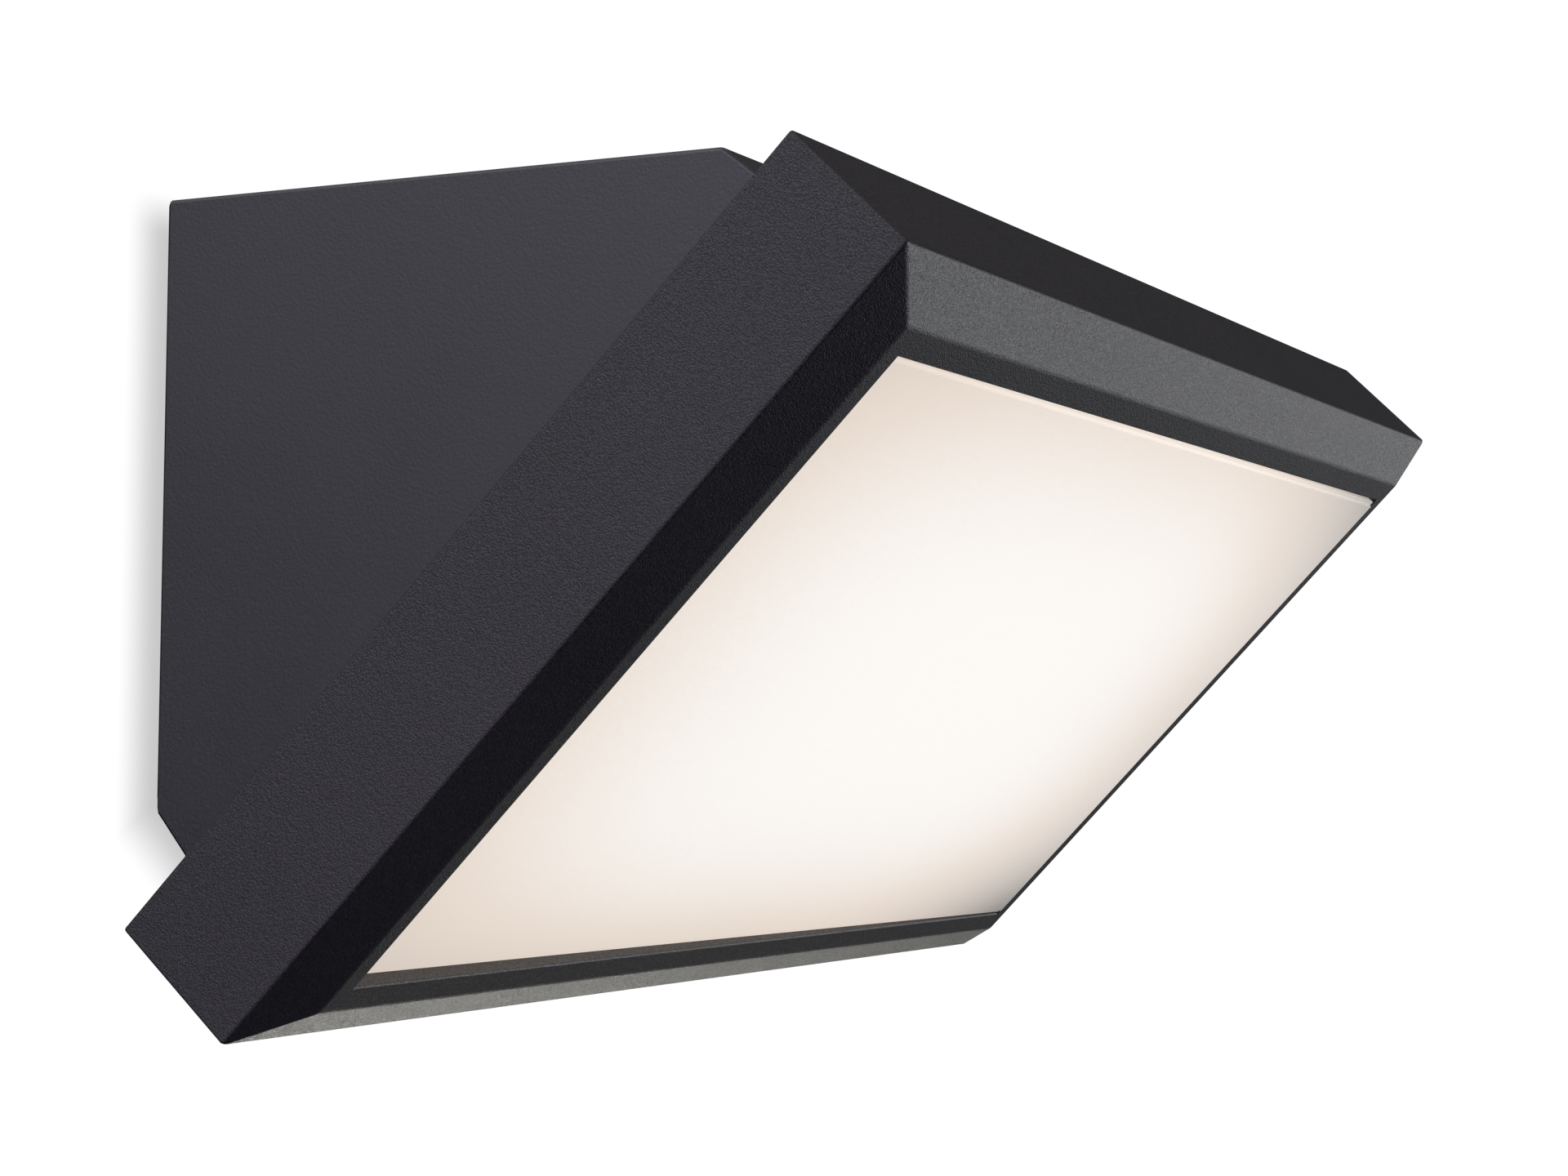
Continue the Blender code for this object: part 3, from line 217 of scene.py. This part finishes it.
def opal_diffuser():
    """Opal acrylic, lit from behind: brightest over the middle, warmer and dimmer at its edges.

    across and up run from -1 to 1 between the window's edges. Each takes its share of the glow away
    towards both its ends, changed by tilt towards the high end, and by far in the corners on the
    high side of across, where the lower corner loses the most.
    """
    f = Finish("lantern_opal_diffuser")
    split = f.node("ShaderNodeSeparateXYZ")
    f.feed(split.inputs["Vector"], f.place)
    across = f.math("DIVIDE", split.outputs["X"], WINDOW_X * MM)
    climb = f.math("ADD", f.math("MULTIPLY", split.outputs["Y"], SLOPE_UP.y),
                   f.math("MULTIPLY", split.outputs["Z"], SLOPE_UP.z))
    climb = f.math("SUBTRACT", climb, HEAD_CENTRE.dot(SLOPE_UP) * MM)
    up = f.math("DIVIDE", climb, WINDOW_Y * MM)
    corner = f.math("POWER", f.math("MAXIMUM", across, 0.0), 3.0)
    middle_glow, edge_glow, lower_share = 0.89, 0.70, 0.3
    glow = middle_glow
    for place, power, share, tilt, far in ((across, 3.4, 0.22, 0.07, 0.0),
                                           (up, 3.2, 0.20, -0.04, 0.42)):
        drop = f.math("POWER", f.math("ABSOLUTE", place), power)
        depth = f.math("ADD", share, f.math("MULTIPLY", place, tilt))
        lower = f.math("SUBTRACT", 1.0, f.math("MULTIPLY", place, lower_share))
        depth = f.math("ADD", depth, f.math("MULTIPLY", f.math("MULTIPLY", corner, far), lower))
        glow = f.math("MULTIPLY", glow, f.math("SUBTRACT", 1.0, f.math("MULTIPLY", drop, depth)))
    weave = f.noise(1500.0, detail=2.0, roughness=0.5)
    glow = f.math("MULTIPLY", glow, f.span(weave, 0.2, 0.8, 0.985, 1.015))
    light = f.blend(f.span(glow, edge_glow, middle_glow), (1.0, 0.870, 0.760), (1.0, 0.965, 0.920))
    light = f.blend(f.math("MULTIPLY", corner, 0.55), light, (1.0, 0.950, 0.910))
    normal = f.bump(f.noise(2400.0, detail=2.0, roughness=0.5), depth_mm=0.006, strength=0.4)
    f.feed(f.shader.inputs["Emission Strength"], glow)
    return f.set(base_color=(0.30, 0.29, 0.27), roughness=f.span(weave, 0.3, 0.7, 0.42, 0.5),
                 normal=normal, emission_color=light, ior=1.49)


def metal(name, light, dark, roughness, brushed=(1.0, 1.0, 1.0)):
    """Bare metal with fine rolling lines or a fine matt grain, and faint larger crystals."""
    f = Finish(name)
    lines = f.noise(1900.0, detail=4.0, roughness=0.6, at=f.stretched(brushed))
    spangle = f.cells(260.0, smooth=0.2)
    drift = f.noise(30.0, detail=3.0, roughness=0.5)
    tone = f.math("ADD", f.math("MULTIPLY", lines, 0.5), f.math("MULTIPLY", spangle, 0.25))
    tone = f.math("ADD", tone, f.math("MULTIPLY", drift, 0.5))
    base = f.blend(f.span(tone, 0.25, 0.95), dark, light)
    rough = f.span(lines, 0.25, 0.75, roughness - 0.04, roughness + 0.05)
    normal = f.bump(lines, depth_mm=0.003, strength=0.4)
    return f.set(base_color=base, roughness=rough, metallic=1.0, normal=normal)


def moulded(name, light, dark, roughness, grain=900.0, depth=0.01):
    """Moulded plastic, rubber or lacquer with slight colour drift and a fine surface grain."""
    f = Finish(name)
    drift = f.noise(45.0, detail=3.0, roughness=0.55)
    fine = f.noise(grain, detail=3.0, roughness=0.6)
    tone = f.math("ADD", drift, f.math("MULTIPLY", fine, 0.35))
    base = f.blend(f.span(tone, 0.45, 0.9), dark, light)
    rough = f.span(fine, 0.25, 0.75, roughness - 0.05, roughness + 0.07)
    normal = f.bump(fine, depth_mm=depth, strength=0.6)
    return f.set(base_color=base, roughness=rough, normal=normal, ior=COATING_IOR)


def striped_lead(name, first, second):
    """Wire insulation in two colours, in slightly wavy diagonal bands."""
    f = Finish(name)
    wave = f.node("ShaderNodeTexWave", wave_type="BANDS", bands_direction="DIAGONAL")
    f.feed(wave.inputs["Vector"], f.place)
    wave.inputs["Scale"].default_value = 170.0
    wave.inputs["Distortion"].default_value = 1.5
    wave.inputs["Detail Scale"].default_value = 0.5
    fine = f.noise(1800.0, detail=2.0, roughness=0.5)
    base = f.blend(f.span(wave.outputs["Fac"], 0.45, 0.6), first, second)
    rough = f.span(fine, 0.3, 0.7, 0.38, 0.5)
    return f.set(base_color=base, roughness=rough, normal=f.bump(fine, depth_mm=0.01, strength=0.4))


def circuit_board():
    """Green solder mask, lighter and raised along a net of tracks."""
    f = Finish("lantern_circuit_board")
    tracks = f.node("ShaderNodeTexBrick", offset=0.37, squash=0.6, squash_frequency=3)
    f.feed(tracks.inputs["Vector"], f.place)
    for key, number in (("Scale", 190.0), ("Mortar Size", 0.03), ("Mortar Smooth", 0.2)):
        tracks.inputs[key].default_value = number
    fine = f.noise(1400.0, detail=2.0, roughness=0.5)
    shown = f.math("MULTIPLY", tracks.outputs["Fac"], 0.7)
    base = f.blend(shown, (0.012, 0.115, 0.040), (0.05, 0.24, 0.07))
    rough = f.span(fine, 0.3, 0.7, 0.28, 0.4)
    normal = f.bump(tracks.outputs["Fac"], depth_mm=0.03, strength=0.5)
    return f.set(base_color=base, roughness=rough, normal=normal)


def led_phosphor():
    """Yellow phosphor under clear resin."""
    f = Finish("lantern_led_package")
    fine = f.noise(2600.0, detail=3.0, roughness=0.6)
    base = f.blend(f.span(fine, 0.3, 0.7), (0.93, 0.70, 0.14), (0.98, 0.82, 0.30))
    rough = f.span(fine, 0.3, 0.7, 0.3, 0.45)
    return f.set(base_color=base, roughness=rough, normal=f.bump(fine, depth_mm=0.01, strength=0.5))


FINISHES = {
    "housing_paint": housing_paint(),
    "head_coating": head_coating(),
    "opal_diffuser": opal_diffuser(),
    "zinc_steel": metal("lantern_zinc_steel", (0.62, 0.63, 0.64), (0.42, 0.43, 0.45), 0.36,
                        (1.0, 1.0, 0.15)),
    "stainless_steel": metal("lantern_stainless_steel", (0.66, 0.65, 0.63), (0.50, 0.49, 0.47), 0.26),
    "aluminium_sheet": metal("lantern_aluminium_sheet", (0.80, 0.81, 0.82), (0.62, 0.63, 0.65), 0.34,
                             (0.1, 1.0, 1.0)),
    "black_rubber": moulded("lantern_black_rubber", (0.030, 0.030, 0.031), (0.016, 0.016, 0.017), 0.78,
                            1400.0, 0.02),
    "silicone": moulded("lantern_silicone", (0.80, 0.80, 0.78), (0.66, 0.66, 0.64), 0.5),
    "white_plastic": moulded("lantern_white_plastic", (0.87, 0.87, 0.85), (0.78, 0.78, 0.76), 0.42),
    "white_solder_mask": moulded("lantern_white_solder_mask", (0.85, 0.86, 0.84), (0.74, 0.75, 0.74),
                                 0.36, 500.0, 0.006),
    "led_package": led_phosphor(),
    "driver_plastic": moulded("lantern_driver_plastic", (0.78, 0.79, 0.80), (0.66, 0.67, 0.69), 0.48,
                              1200.0, 0.015),
    "circuit_board": circuit_board(),
    "transformer_tape": moulded("lantern_transformer_tape", (0.88, 0.68, 0.10), (0.70, 0.50, 0.05), 0.38,
                                300.0, 0.02),
    "black_plastic": moulded("lantern_black_plastic", (0.035, 0.035, 0.037), (0.018, 0.018, 0.020), 0.45),
    "terminal_grey": moulded("lantern_terminal_grey", (0.55, 0.56, 0.57), (0.44, 0.45, 0.47), 0.45,
                             1300.0, 0.012),
    "button_orange": moulded("lantern_button_orange", (0.87, 0.27, 0.035), (0.70, 0.17, 0.02), 0.42,
                             1300.0, 0.012),
    "brown_pvc": moulded("lantern_brown_pvc", (0.16, 0.065, 0.03), (0.10, 0.035, 0.015), 0.42),
    "blue_pvc": moulded("lantern_blue_pvc", (0.035, 0.13, 0.52), (0.02, 0.07, 0.34), 0.42),
    "green_yellow_pvc": striped_lead("lantern_green_yellow_pvc", (0.05, 0.30, 0.04), (0.80, 0.66, 0.05)),
    "red_pvc": moulded("lantern_red_pvc", (0.62, 0.035, 0.03), (0.42, 0.02, 0.02), 0.42),
    "black_pvc": moulded("lantern_black_pvc", (0.030, 0.030, 0.030), (0.014, 0.014, 0.014), 0.42),
}


# ------------------------------------------------------------------------------ mesh tools
def new_piece(name, bm, slot, place=None, smooth=35.0):
    """A finished mesh object that rides on the light's body. bm is in millimetres."""
    bmesh.ops.recalc_face_normals(bm, faces=bm.faces)
    bmesh.ops.scale(bm, vec=(MM, MM, MM), verts=bm.verts)
    if place is not None:
        bmesh.ops.transform(bm, matrix=place, verts=bm.verts)
    mesh = bpy.data.meshes.new(name)
    bm.to_mesh(mesh)
    bm.free()
    mesh.shade_smooth()
    mesh.set_sharp_from_angle(angle=math.radians(smooth))
    piece = bpy.data.objects.new(name, mesh)
    bpy.context.scene.collection.objects.link(piece)
    mesh.materials.append(FINISHES[slot])
    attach(piece, BODY)
    return piece


def rectangle_ring(bm, half_x, half_y, z):
    return [bm.verts.new((x, y, z)) for x, y in (
        (-half_x, -half_y), (half_x, -half_y), (half_x, half_y), (-half_x, half_y))]


def turned_ring(bm, height, steps, radius_at):
    """Points round Z, at the radius that radius_at gives for each turn in radians."""
    ring = []
    for n in range(steps):
        turn = 2 * math.pi * n / steps
        radius = radius_at(turn)
        ring.append(bm.verts.new((radius * math.cos(turn), radius * math.sin(turn), height)))
    return ring


def turned_rings(bm, profile, steps):
    """A round ring of points for each (radius, height) of the profile."""
    return [turned_ring(bm, height, steps, lambda turn: radius) for radius, height in profile]


def join_rings(bm, rings):
    """Faces between each ring of points and the next one, which has as many points."""
    for ring, following in zip(rings, rings[1:]):
        for n in range(len(ring)):
            after = (n + 1) % len(ring)
            bm.faces.new((ring[n], ring[after], following[after], following[n]))


def ring_solid(loops):
    """A closed frame whose cross-section runs through rectangles of (half x, half y, z)."""
    bm = bmesh.new()
    rings = [rectangle_ring(bm, *loop) for loop in loops]
    join_rings(bm, rings + rings[:1])
    return bm


def stack_solid(loops):
    """A closed block through rectangles of (half x, half y, z), capped at both ends."""
    bm = bmesh.new()
    rings = [rectangle_ring(bm, *loop) for loop in loops]
    join_rings(bm, rings)
    bm.faces.new(rings[0])
    bm.faces.new(rings[-1])
    return bm


def rounded(piece, radius_mm, segments=4):
    """Rounded edges with normals that keep the flat faces flat."""
    bevel = piece.modifiers.new("rounded_edges", "BEVEL")
    bevel.width = radius_mm * MM
    bevel.segments = segments
    bevel.limit_method = "ANGLE"
    bevel.angle_limit = math.radians(15.0)
    bevel.use_clamp_overlap = True
    bevel.harden_normals = True


# ------------------------------------------------------------------------- the light head
def make_head_shell():
    """The frame round the window: side faces, chamfer, bezel, lip and the cavity behind it."""
    inner_x, inner_y = HEAD_HALF_X - FRAME_WALL, HEAD_HALF_Y - FRAME_WALL
    bm = ring_solid([
        (HEAD_HALF_X, HEAD_HALF_Y, 0.0),
        (HEAD_HALF_X, HEAD_HALF_Y, HEAD_EDGE),
        (HEAD_HALF_X - CHAMFER, HEAD_HALF_Y - CHAMFER, FRONT),
        (WINDOW_X, WINDOW_Y, FRONT),
        (WINDOW_X, WINDOW_Y, LIP_UNDERSIDE),
        (inner_x - CAVITY_SHOULDER, inner_y - CAVITY_SHOULDER, LIP_UNDERSIDE),
        (inner_x, inner_y, CAVITY_TOP),
        (inner_x, inner_y, 0.0)])
    shell = new_piece("head_shell", bm, "head_coating", HEAD_PLACE)
    rounded(shell, HEAD_EDGE_RADIUS)
    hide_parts("head_frame")


def make_diffuser():
    """The opal tray: a flange under the lip and a stepped plateau that leans in the window."""
    flange, clear, pocket_inset, sheet = 3.2, 0.4, 4.0, 2.0
    low, high = 16.6, 18.1         # the flange's two faces
    face = FRONT - 0.40            # the plateau's middle, below the bezel
    ledge, ledge_drop = 0.7, 0.45  # the step round the plateau
    lean = 0.80                    # rise at the right edge and fall at the left
    flange_x, flange_y = WINDOW_X + flange, WINDOW_Y + flange
    pocket_x, pocket_y = WINDOW_X - pocket_inset, WINDOW_Y - pocket_inset
    x, y = WINDOW_X - clear, WINDOW_Y - clear
    bm = stack_solid([
        (pocket_x, pocket_y, face - sheet),
        (pocket_x, pocket_y, low),
        (flange_x, flange_y, low),
        (flange_x, flange_y, high),
        (x, y, high),
        (x, y, face - ledge_drop),
        (x - ledge, y - ledge, face - ledge_drop),
        (x - ledge, y - ledge, face)])
    past_flange = high + 0.1
    for corner in bm.verts:
        if corner.co.z > past_flange:
            corner.co.z += lean * corner.co.x / x
    tray = new_piece("opal_diffuser", bm, "opal_diffuser", HEAD_PLACE)
    rounded(tray, DIFFUSER_EDGE_RADIUS, segments=3)
    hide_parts("diffuser")


# ------------------------------------------------------------------------ the wedge housing
def behind_head(y, z):
    """How far a point lies behind the head's back plane."""
    return (HEAD_FOOT - Vector((0.0, y, z))).dot(LIGHT_WAY)


def housing_outline():
    """Points (y, z) of the wedge's side, from the top back corner round the front."""
    def reach_head(start, way):
        share = (behind_head(*start) - HOUSING_TO_HEAD) / Vector((0.0, *way)).dot(LIGHT_WAY)
        return start[0] + way[0] * share, start[1] + way[1] * share

    top_front = (-HOUSING_DEPTH, HOUSING_TOP)
    foot = (-RIM_TO_WALL, HOUSING_BOTTOM)
    upper = reach_head(top_front, (-math.cos(RIM_SLOPE), -math.sin(RIM_SLOPE)))
    lower = reach_head(foot, (-math.sin(RIM_SLOPE), -math.cos(RIM_SLOPE)))
    return [(-RIM_TO_WALL, HOUSING_TOP), top_front, upper, lower, foot]


def make_housing_shell():
    """The hollow wedge, open towards the wall."""
    bm = bmesh.new()
    rows = []
    for side in (-1.0, 1.0):
        row = []
        for y, z in housing_outline():
            half = HEAD_HALF_X - HOUSING_INSET - HOUSING_DRAFT * behind_head(y, z)
            row.append(bm.verts.new((side * half, y, z)))
        rows.append(row)
    for row in rows:
        bm.faces.new(row)
    count = len(rows[0])
    for n in range(count - 1):
        bm.faces.new((rows[0][n], rows[0][n + 1], rows[1][n + 1], rows[1][n]))
    shell = new_piece("wedge_shell", bm, "housing_paint")
    wall = shell.modifiers.new("casting_wall", "SOLIDIFY")
    wall.thickness = HOUSING_WALL * MM
    wall.offset = -1.0
    wall.use_even_offset = True
    rounded(shell, HOUSING_EDGE_RADIUS)
    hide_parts("wedge_housing")


def make_housing_washer(side, place):
    """A flat rubber ring with softened corners. Its origin is its underside."""
    profile = [(2.4, 0.15), (2.55, 0.0), (4.45, 0.0), (4.6, 0.15), (4.6, 0.85), (4.4, 1.0), (2.55, 1.0),
               (2.4, 0.85)]
    bm = bmesh.new()
    rings = turned_rings(bm, profile, steps=40)
    join_rings(bm, rings + rings[:1])
    washer = new_piece("screw_washer_" + side, bm, "black_rubber", place, smooth=30.0)
    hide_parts("housing_washer_" + side)


def make_housing_screw(side, place):
    """A pan-head screw with a six-sided socket. Its origin is the head's underside."""
    steps = 36
    socket_inradius, socket_depths = 1.3, (2.25, 0.95)
    profile = [(1.9, -9.5), (2.0, -9.3), (2.0, 0.0), (3.62, 0.0), (3.70, 0.10), (3.70, 1.45),
               (3.58, 1.90), (3.20, 2.25), (2.60, 2.40), (1.75, 2.40)]

    def socket_radius(turn):
        return socket_inradius / math.cos((turn + math.pi / 6) % (math.pi / 3) - math.pi / 6)

    bm = bmesh.new()
    rings = turned_rings(bm, profile, steps)
    rings += [turned_ring(bm, height, steps, socket_radius) for height in socket_depths]
    join_rings(bm, rings)
    bm.faces.new(rings[0])
    bm.faces.new(rings[-1])
    screw = new_piece("housing_screw_head_" + side, bm, "stainless_steel", place, smooth=30.0)
    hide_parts("housing_screw_" + side)


def make_housing_screws():
    """The two screws on the flat top, each on its rubber washer, where the CAD washers lie."""
    head_over_seat = 1.3
    for side in ("left", "right"):
        low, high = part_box("housing_washer_" + side)
        seat = Matrix.Translation(((low.x + high.x) / 2, (low.y + high.y) / 2, low.z))
        make_housing_washer(side, seat)
        make_housing_screw(side, seat @ Matrix.Translation((0.0, 0.0, head_over_seat * MM)))


# ------------------------------------------------------------------ the CAD nodes that stay
def finish_cad_nodes():
    """Every node that no piece replaces gets the finish of its slot in the record."""
    slots = {entry["node"]: entry["material_slot"] for entry in frame["record"]["subparts"]}
    for name, node in NODES.items():
        if node.hide_render:
            continue
        mesh = node.data
        mesh.materials.clear()
        mesh.materials.append(FINISHES[slots[name]])
        mesh.shade_smooth()
        mesh.set_sharp_from_angle(angle=math.radians(30.0))


# --------------------------------------------------------------------------------- studio
# The stage's planes, in metres, and how brightly they glow
FLOOR_LEVEL, WALL_TOP = -0.75, 1.2
WALL_LEFT, WALL_RIGHT = -1.6, 2.6
FLOOR_LEFT, FLOOR_RIGHT, FLOOR_NEAR, FLOOR_FAR = -2.5, 3.0, -3.0, 2.5
BEHIND_BRACKET = 0.0001        # the wall's plane lies just behind the bracket's back
SHADE_REACH = 0.6              # painted shade: the floor darkens under what is nearer than this
WALL_GLOW, FLOOR_GLOW, FLOOR_SHADE = 1.02, 0.93, 0.50

# The light that falls on the part, and the white that the camera sees past the stage
AMBIENT = (0.010, 0.010, 0.010)
BACKDROP = 1.06
STUDIO_LIGHTS = [              # towards the light, sharpness of its lobe, radiance at its middle
    ((0.80, -0.59, -0.13), 36.0, (6.05, 6.12, 6.30)),
    ((0.87, 0.45, -0.22), 50.0, (2.50, 2.48, 2.38)),
    ((0.85, 0.52, -0.09), 40.0, (6.40, 6.25, 5.60)),
    ((-0.94, 0.00, -0.35), 16.0, (0.90, 0.88, 1.10)),
    ((-1.00, 0.00, 0.00), 16.0, (0.70, 0.50, 0.60)),
    ((-0.94, 0.00, 0.35), 16.0, (0.30, 0.22, 0.18)),
    ((-0.87, 0.35, 0.35), 16.0, (1.05, 1.00, 1.18)),
    ((-0.67, 0.35, 0.65), 16.0, (2.25, 2.60, 2.90)),
    ((0.00, 0.30, 0.95), 6.0, (1.10, 0.97, 1.05)),
    ((0.30, -0.50, -0.81), 8.0, (0.02, 0.03, 0.08)),
    ((-0.35, -0.72, 0.60), 7.0, (0.50, 0.50, 0.50)),
]


def stage_plane(name, corners, material):
    """A plane that only the camera sees."""
    mesh = bpy.data.meshes.new(name)
    mesh.from_pydata(corners, [], [tuple(range(len(corners)))])
    mesh.materials.append(material)
    plane = bpy.data.objects.new(name, mesh)
    bpy.context.scene.collection.objects.link(plane)
    for ray in ("diffuse", "glossy", "transmission", "shadow"):
        setattr(plane, "visible_" + ray, False)


def glowing(f, strength):
    """Finishes a stage material as plain light that vanishes when it is seen from behind."""
    f.tree.nodes.remove(f.shader)
    glow = f.node("ShaderNodeEmission")
    f.feed(glow.inputs["Strength"], strength)
    clear = f.node("ShaderNodeBsdfTransparent")
    side = f.node("ShaderNodeNewGeometry")
    mix = f.node("ShaderNodeMixShader")
    f.feed(mix.inputs[0], side.outputs["Backfacing"])
    f.feed(mix.inputs[1], glow.outputs[0])
    f.feed(mix.inputs[2], clear.outputs[0])
    f.feed(f.tree.nodes["Material Output"].inputs["Surface"], mix.outputs[0])
    return f.material


def wall_material():
    """White wall with a painted shadow of the housing, soft, round the sides and the foot of its outline.
    """
    f = Finish("studio_wall")
    split = f.node("ShaderNodeSeparateXYZ")
    f.feed(split.inputs["Vector"], f.place)
    height = split.outputs["Z"]
    rise = f.math("SUBTRACT", height, HOUSING_BOTTOM * MM)
    edge = (HEAD_HALF_X - HOUSING_INSET) * MM
    beside = f.math("SUBTRACT", f.math("ABSOLUTE", split.outputs["X"]), edge)
    beside = f.math("ADD", beside, f.math("MULTIPLY", rise, math.sin(HEAD_TILT) * HOUSING_DRAFT))
    slant = math.radians(52.0)
    below = f.math("SUBTRACT", f.math("MULTIPLY", beside, math.cos(slant)),
                   f.math("MULTIPLY", rise, math.sin(slant)))
    away = f.math("MAXIMUM", beside, below)
    darkest, under_edge, past_edge = 0.43, 2.0 * MM, 7.8 * MM
    # painted shadow: the wall's glow darkens near the housing's outline and is not cast by any light
    painted_shade = f.span(away, -under_edge, past_edge, darkest, 0.0)
    top = HOUSING_TOP * MM
    under_top, over_top, over_foot = 4.5 * MM, 2.0 * MM, 6.0 * MM
    painted_shade = f.math("MULTIPLY", painted_shade, f.span(height, top - under_top, top + over_top, 1.0, 0.0))
    foot = HEAD_FOOT.z * MM
    painted_shade = f.math("MULTIPLY", painted_shade, f.span(height, foot, foot + over_foot))
    return glowing(f, f.math("MULTIPLY", f.math("SUBTRACT", 1.0, painted_shade), WALL_GLOW))


def floor_material():
    """Pale floor with painted shade: it darkens softly, by ambient occlusion, under something that stands
    close to it.
    """
    f = Finish("studio_floor")
    # painted shade: ambient occlusion dims the floor's glow, which no light falls on
    painted_occlusion_shade = f.node("ShaderNodeAmbientOcclusion", samples=16)
    painted_occlusion_shade.inputs["Distance"].default_value = SHADE_REACH
    return glowing(f, f.span(painted_occlusion_shade.outputs["AO"], 0.0, 1.0, FLOOR_SHADE, FLOOR_GLOW))


def make_studio():
    """The wall that the light hangs on, the floor far below it and the studio's light."""
    stage_plane("studio_wall", [
        (WALL_LEFT, BEHIND_BRACKET, FLOOR_LEVEL), (WALL_RIGHT, BEHIND_BRACKET, FLOOR_LEVEL),
        (WALL_RIGHT, BEHIND_BRACKET, WALL_TOP), (WALL_LEFT, BEHIND_BRACKET, WALL_TOP)], wall_material())
    stage_plane("studio_floor", [
        (FLOOR_LEFT, FLOOR_NEAR, FLOOR_LEVEL), (FLOOR_RIGHT, FLOOR_NEAR, FLOOR_LEVEL),
        (FLOOR_RIGHT, FLOOR_FAR, FLOOR_LEVEL), (FLOOR_LEFT, FLOOR_FAR, FLOOR_LEVEL)], floor_material())
    make_world()


def make_world():
    """The studio's soft light as a sum of round lobes, and plain white behind everything."""
    world = bpy.data.worlds.new("studio")
    bpy.context.scene.world = world
    world.use_nodes = True
    tree = world.node_tree
    tree.nodes.clear()

    def node(kind, inputs, **settings):
        made = tree.nodes.new(kind)
        for key, value in settings.items():
            setattr(made, key, value)
        for socket, value in zip(made.inputs, inputs):
            if isinstance(value, bpy.types.NodeSocket):
                tree.links.new(value, socket)
            else:
                socket.default_value = value
        return made

    def math_node(operation, first, second=0.0):
        return node("ShaderNodeMath", (first, second), operation=operation).outputs[0]

    toward = node("ShaderNodeTexCoord", ()).outputs["Generated"]
    total = AMBIENT
    for way, sharpness, colour in STUDIO_LIGHTS:
        along = node("ShaderNodeVectorMath", (toward, Vector(way).normalized()),
                     operation="DOT_PRODUCT").outputs["Value"]
        falloff = math_node("EXPONENT", math_node(
            "MULTIPLY", math_node("SUBTRACT", along, 1.0), sharpness))
        lobe = node("ShaderNodeVectorMath", (colour,), operation="SCALE")
        tree.links.new(falloff, lobe.inputs["Scale"])
        total = node("ShaderNodeVectorMath", (total, lobe.outputs[0]), operation="ADD").outputs[0]
    studio = node("ShaderNodeBackground", (total, 1.0))
    white = node("ShaderNodeBackground", ((1.0, 1.0, 1.0, 1.0), BACKDROP))
    seen = node("ShaderNodeLightPath", ()).outputs["Is Camera Ray"]
    mix = node("ShaderNodeMixShader", (seen, studio.outputs[0], white.outputs[0]))
    node("ShaderNodeOutputWorld", (mix.outputs[0],))


# --------------------------------------------------------------------------------- camera
CAMERA_PLACE = Vector((-470.89, -232.76, -34.29))
CAMERA_RIGHT = Vector((0.39207, -0.91988, -0.01023))
CAMERA_DOWN = Vector((0.04742, 0.03132, -0.99838))
CAMERA_AHEAD = Vector((0.91871, 0.39095, 0.0559))
SENSOR_WIDTH, LENS = 36.0, 79.496


def make_camera():
    """Looks along the wall from the light's left, slightly upwards."""
    camera = bpy.data.cameras.new("camera")
    camera.sensor_width = SENSOR_WIDTH
    camera.lens = LENS
    camera.clip_start, camera.clip_end = 0.01, 50.0
    viewer = bpy.data.objects.new("camera", camera)
    bpy.context.scene.collection.objects.link(viewer)
    turn = Matrix((CAMERA_RIGHT, -CAMERA_DOWN, -CAMERA_AHEAD)).transposed().to_4x4()
    viewer.matrix_world = Matrix.Translation(CAMERA_PLACE * MM) @ turn
    bpy.context.scene.camera = viewer


make_camera()
make_head_shell()
make_diffuser()
make_housing_shell()
make_housing_screws()
finish_cad_nodes()
make_studio()
view = bpy.context.scene.view_settings
view.view_transform, view.look, view.exposure, view.gamma = "Standard", "None", 0.0, 1.0
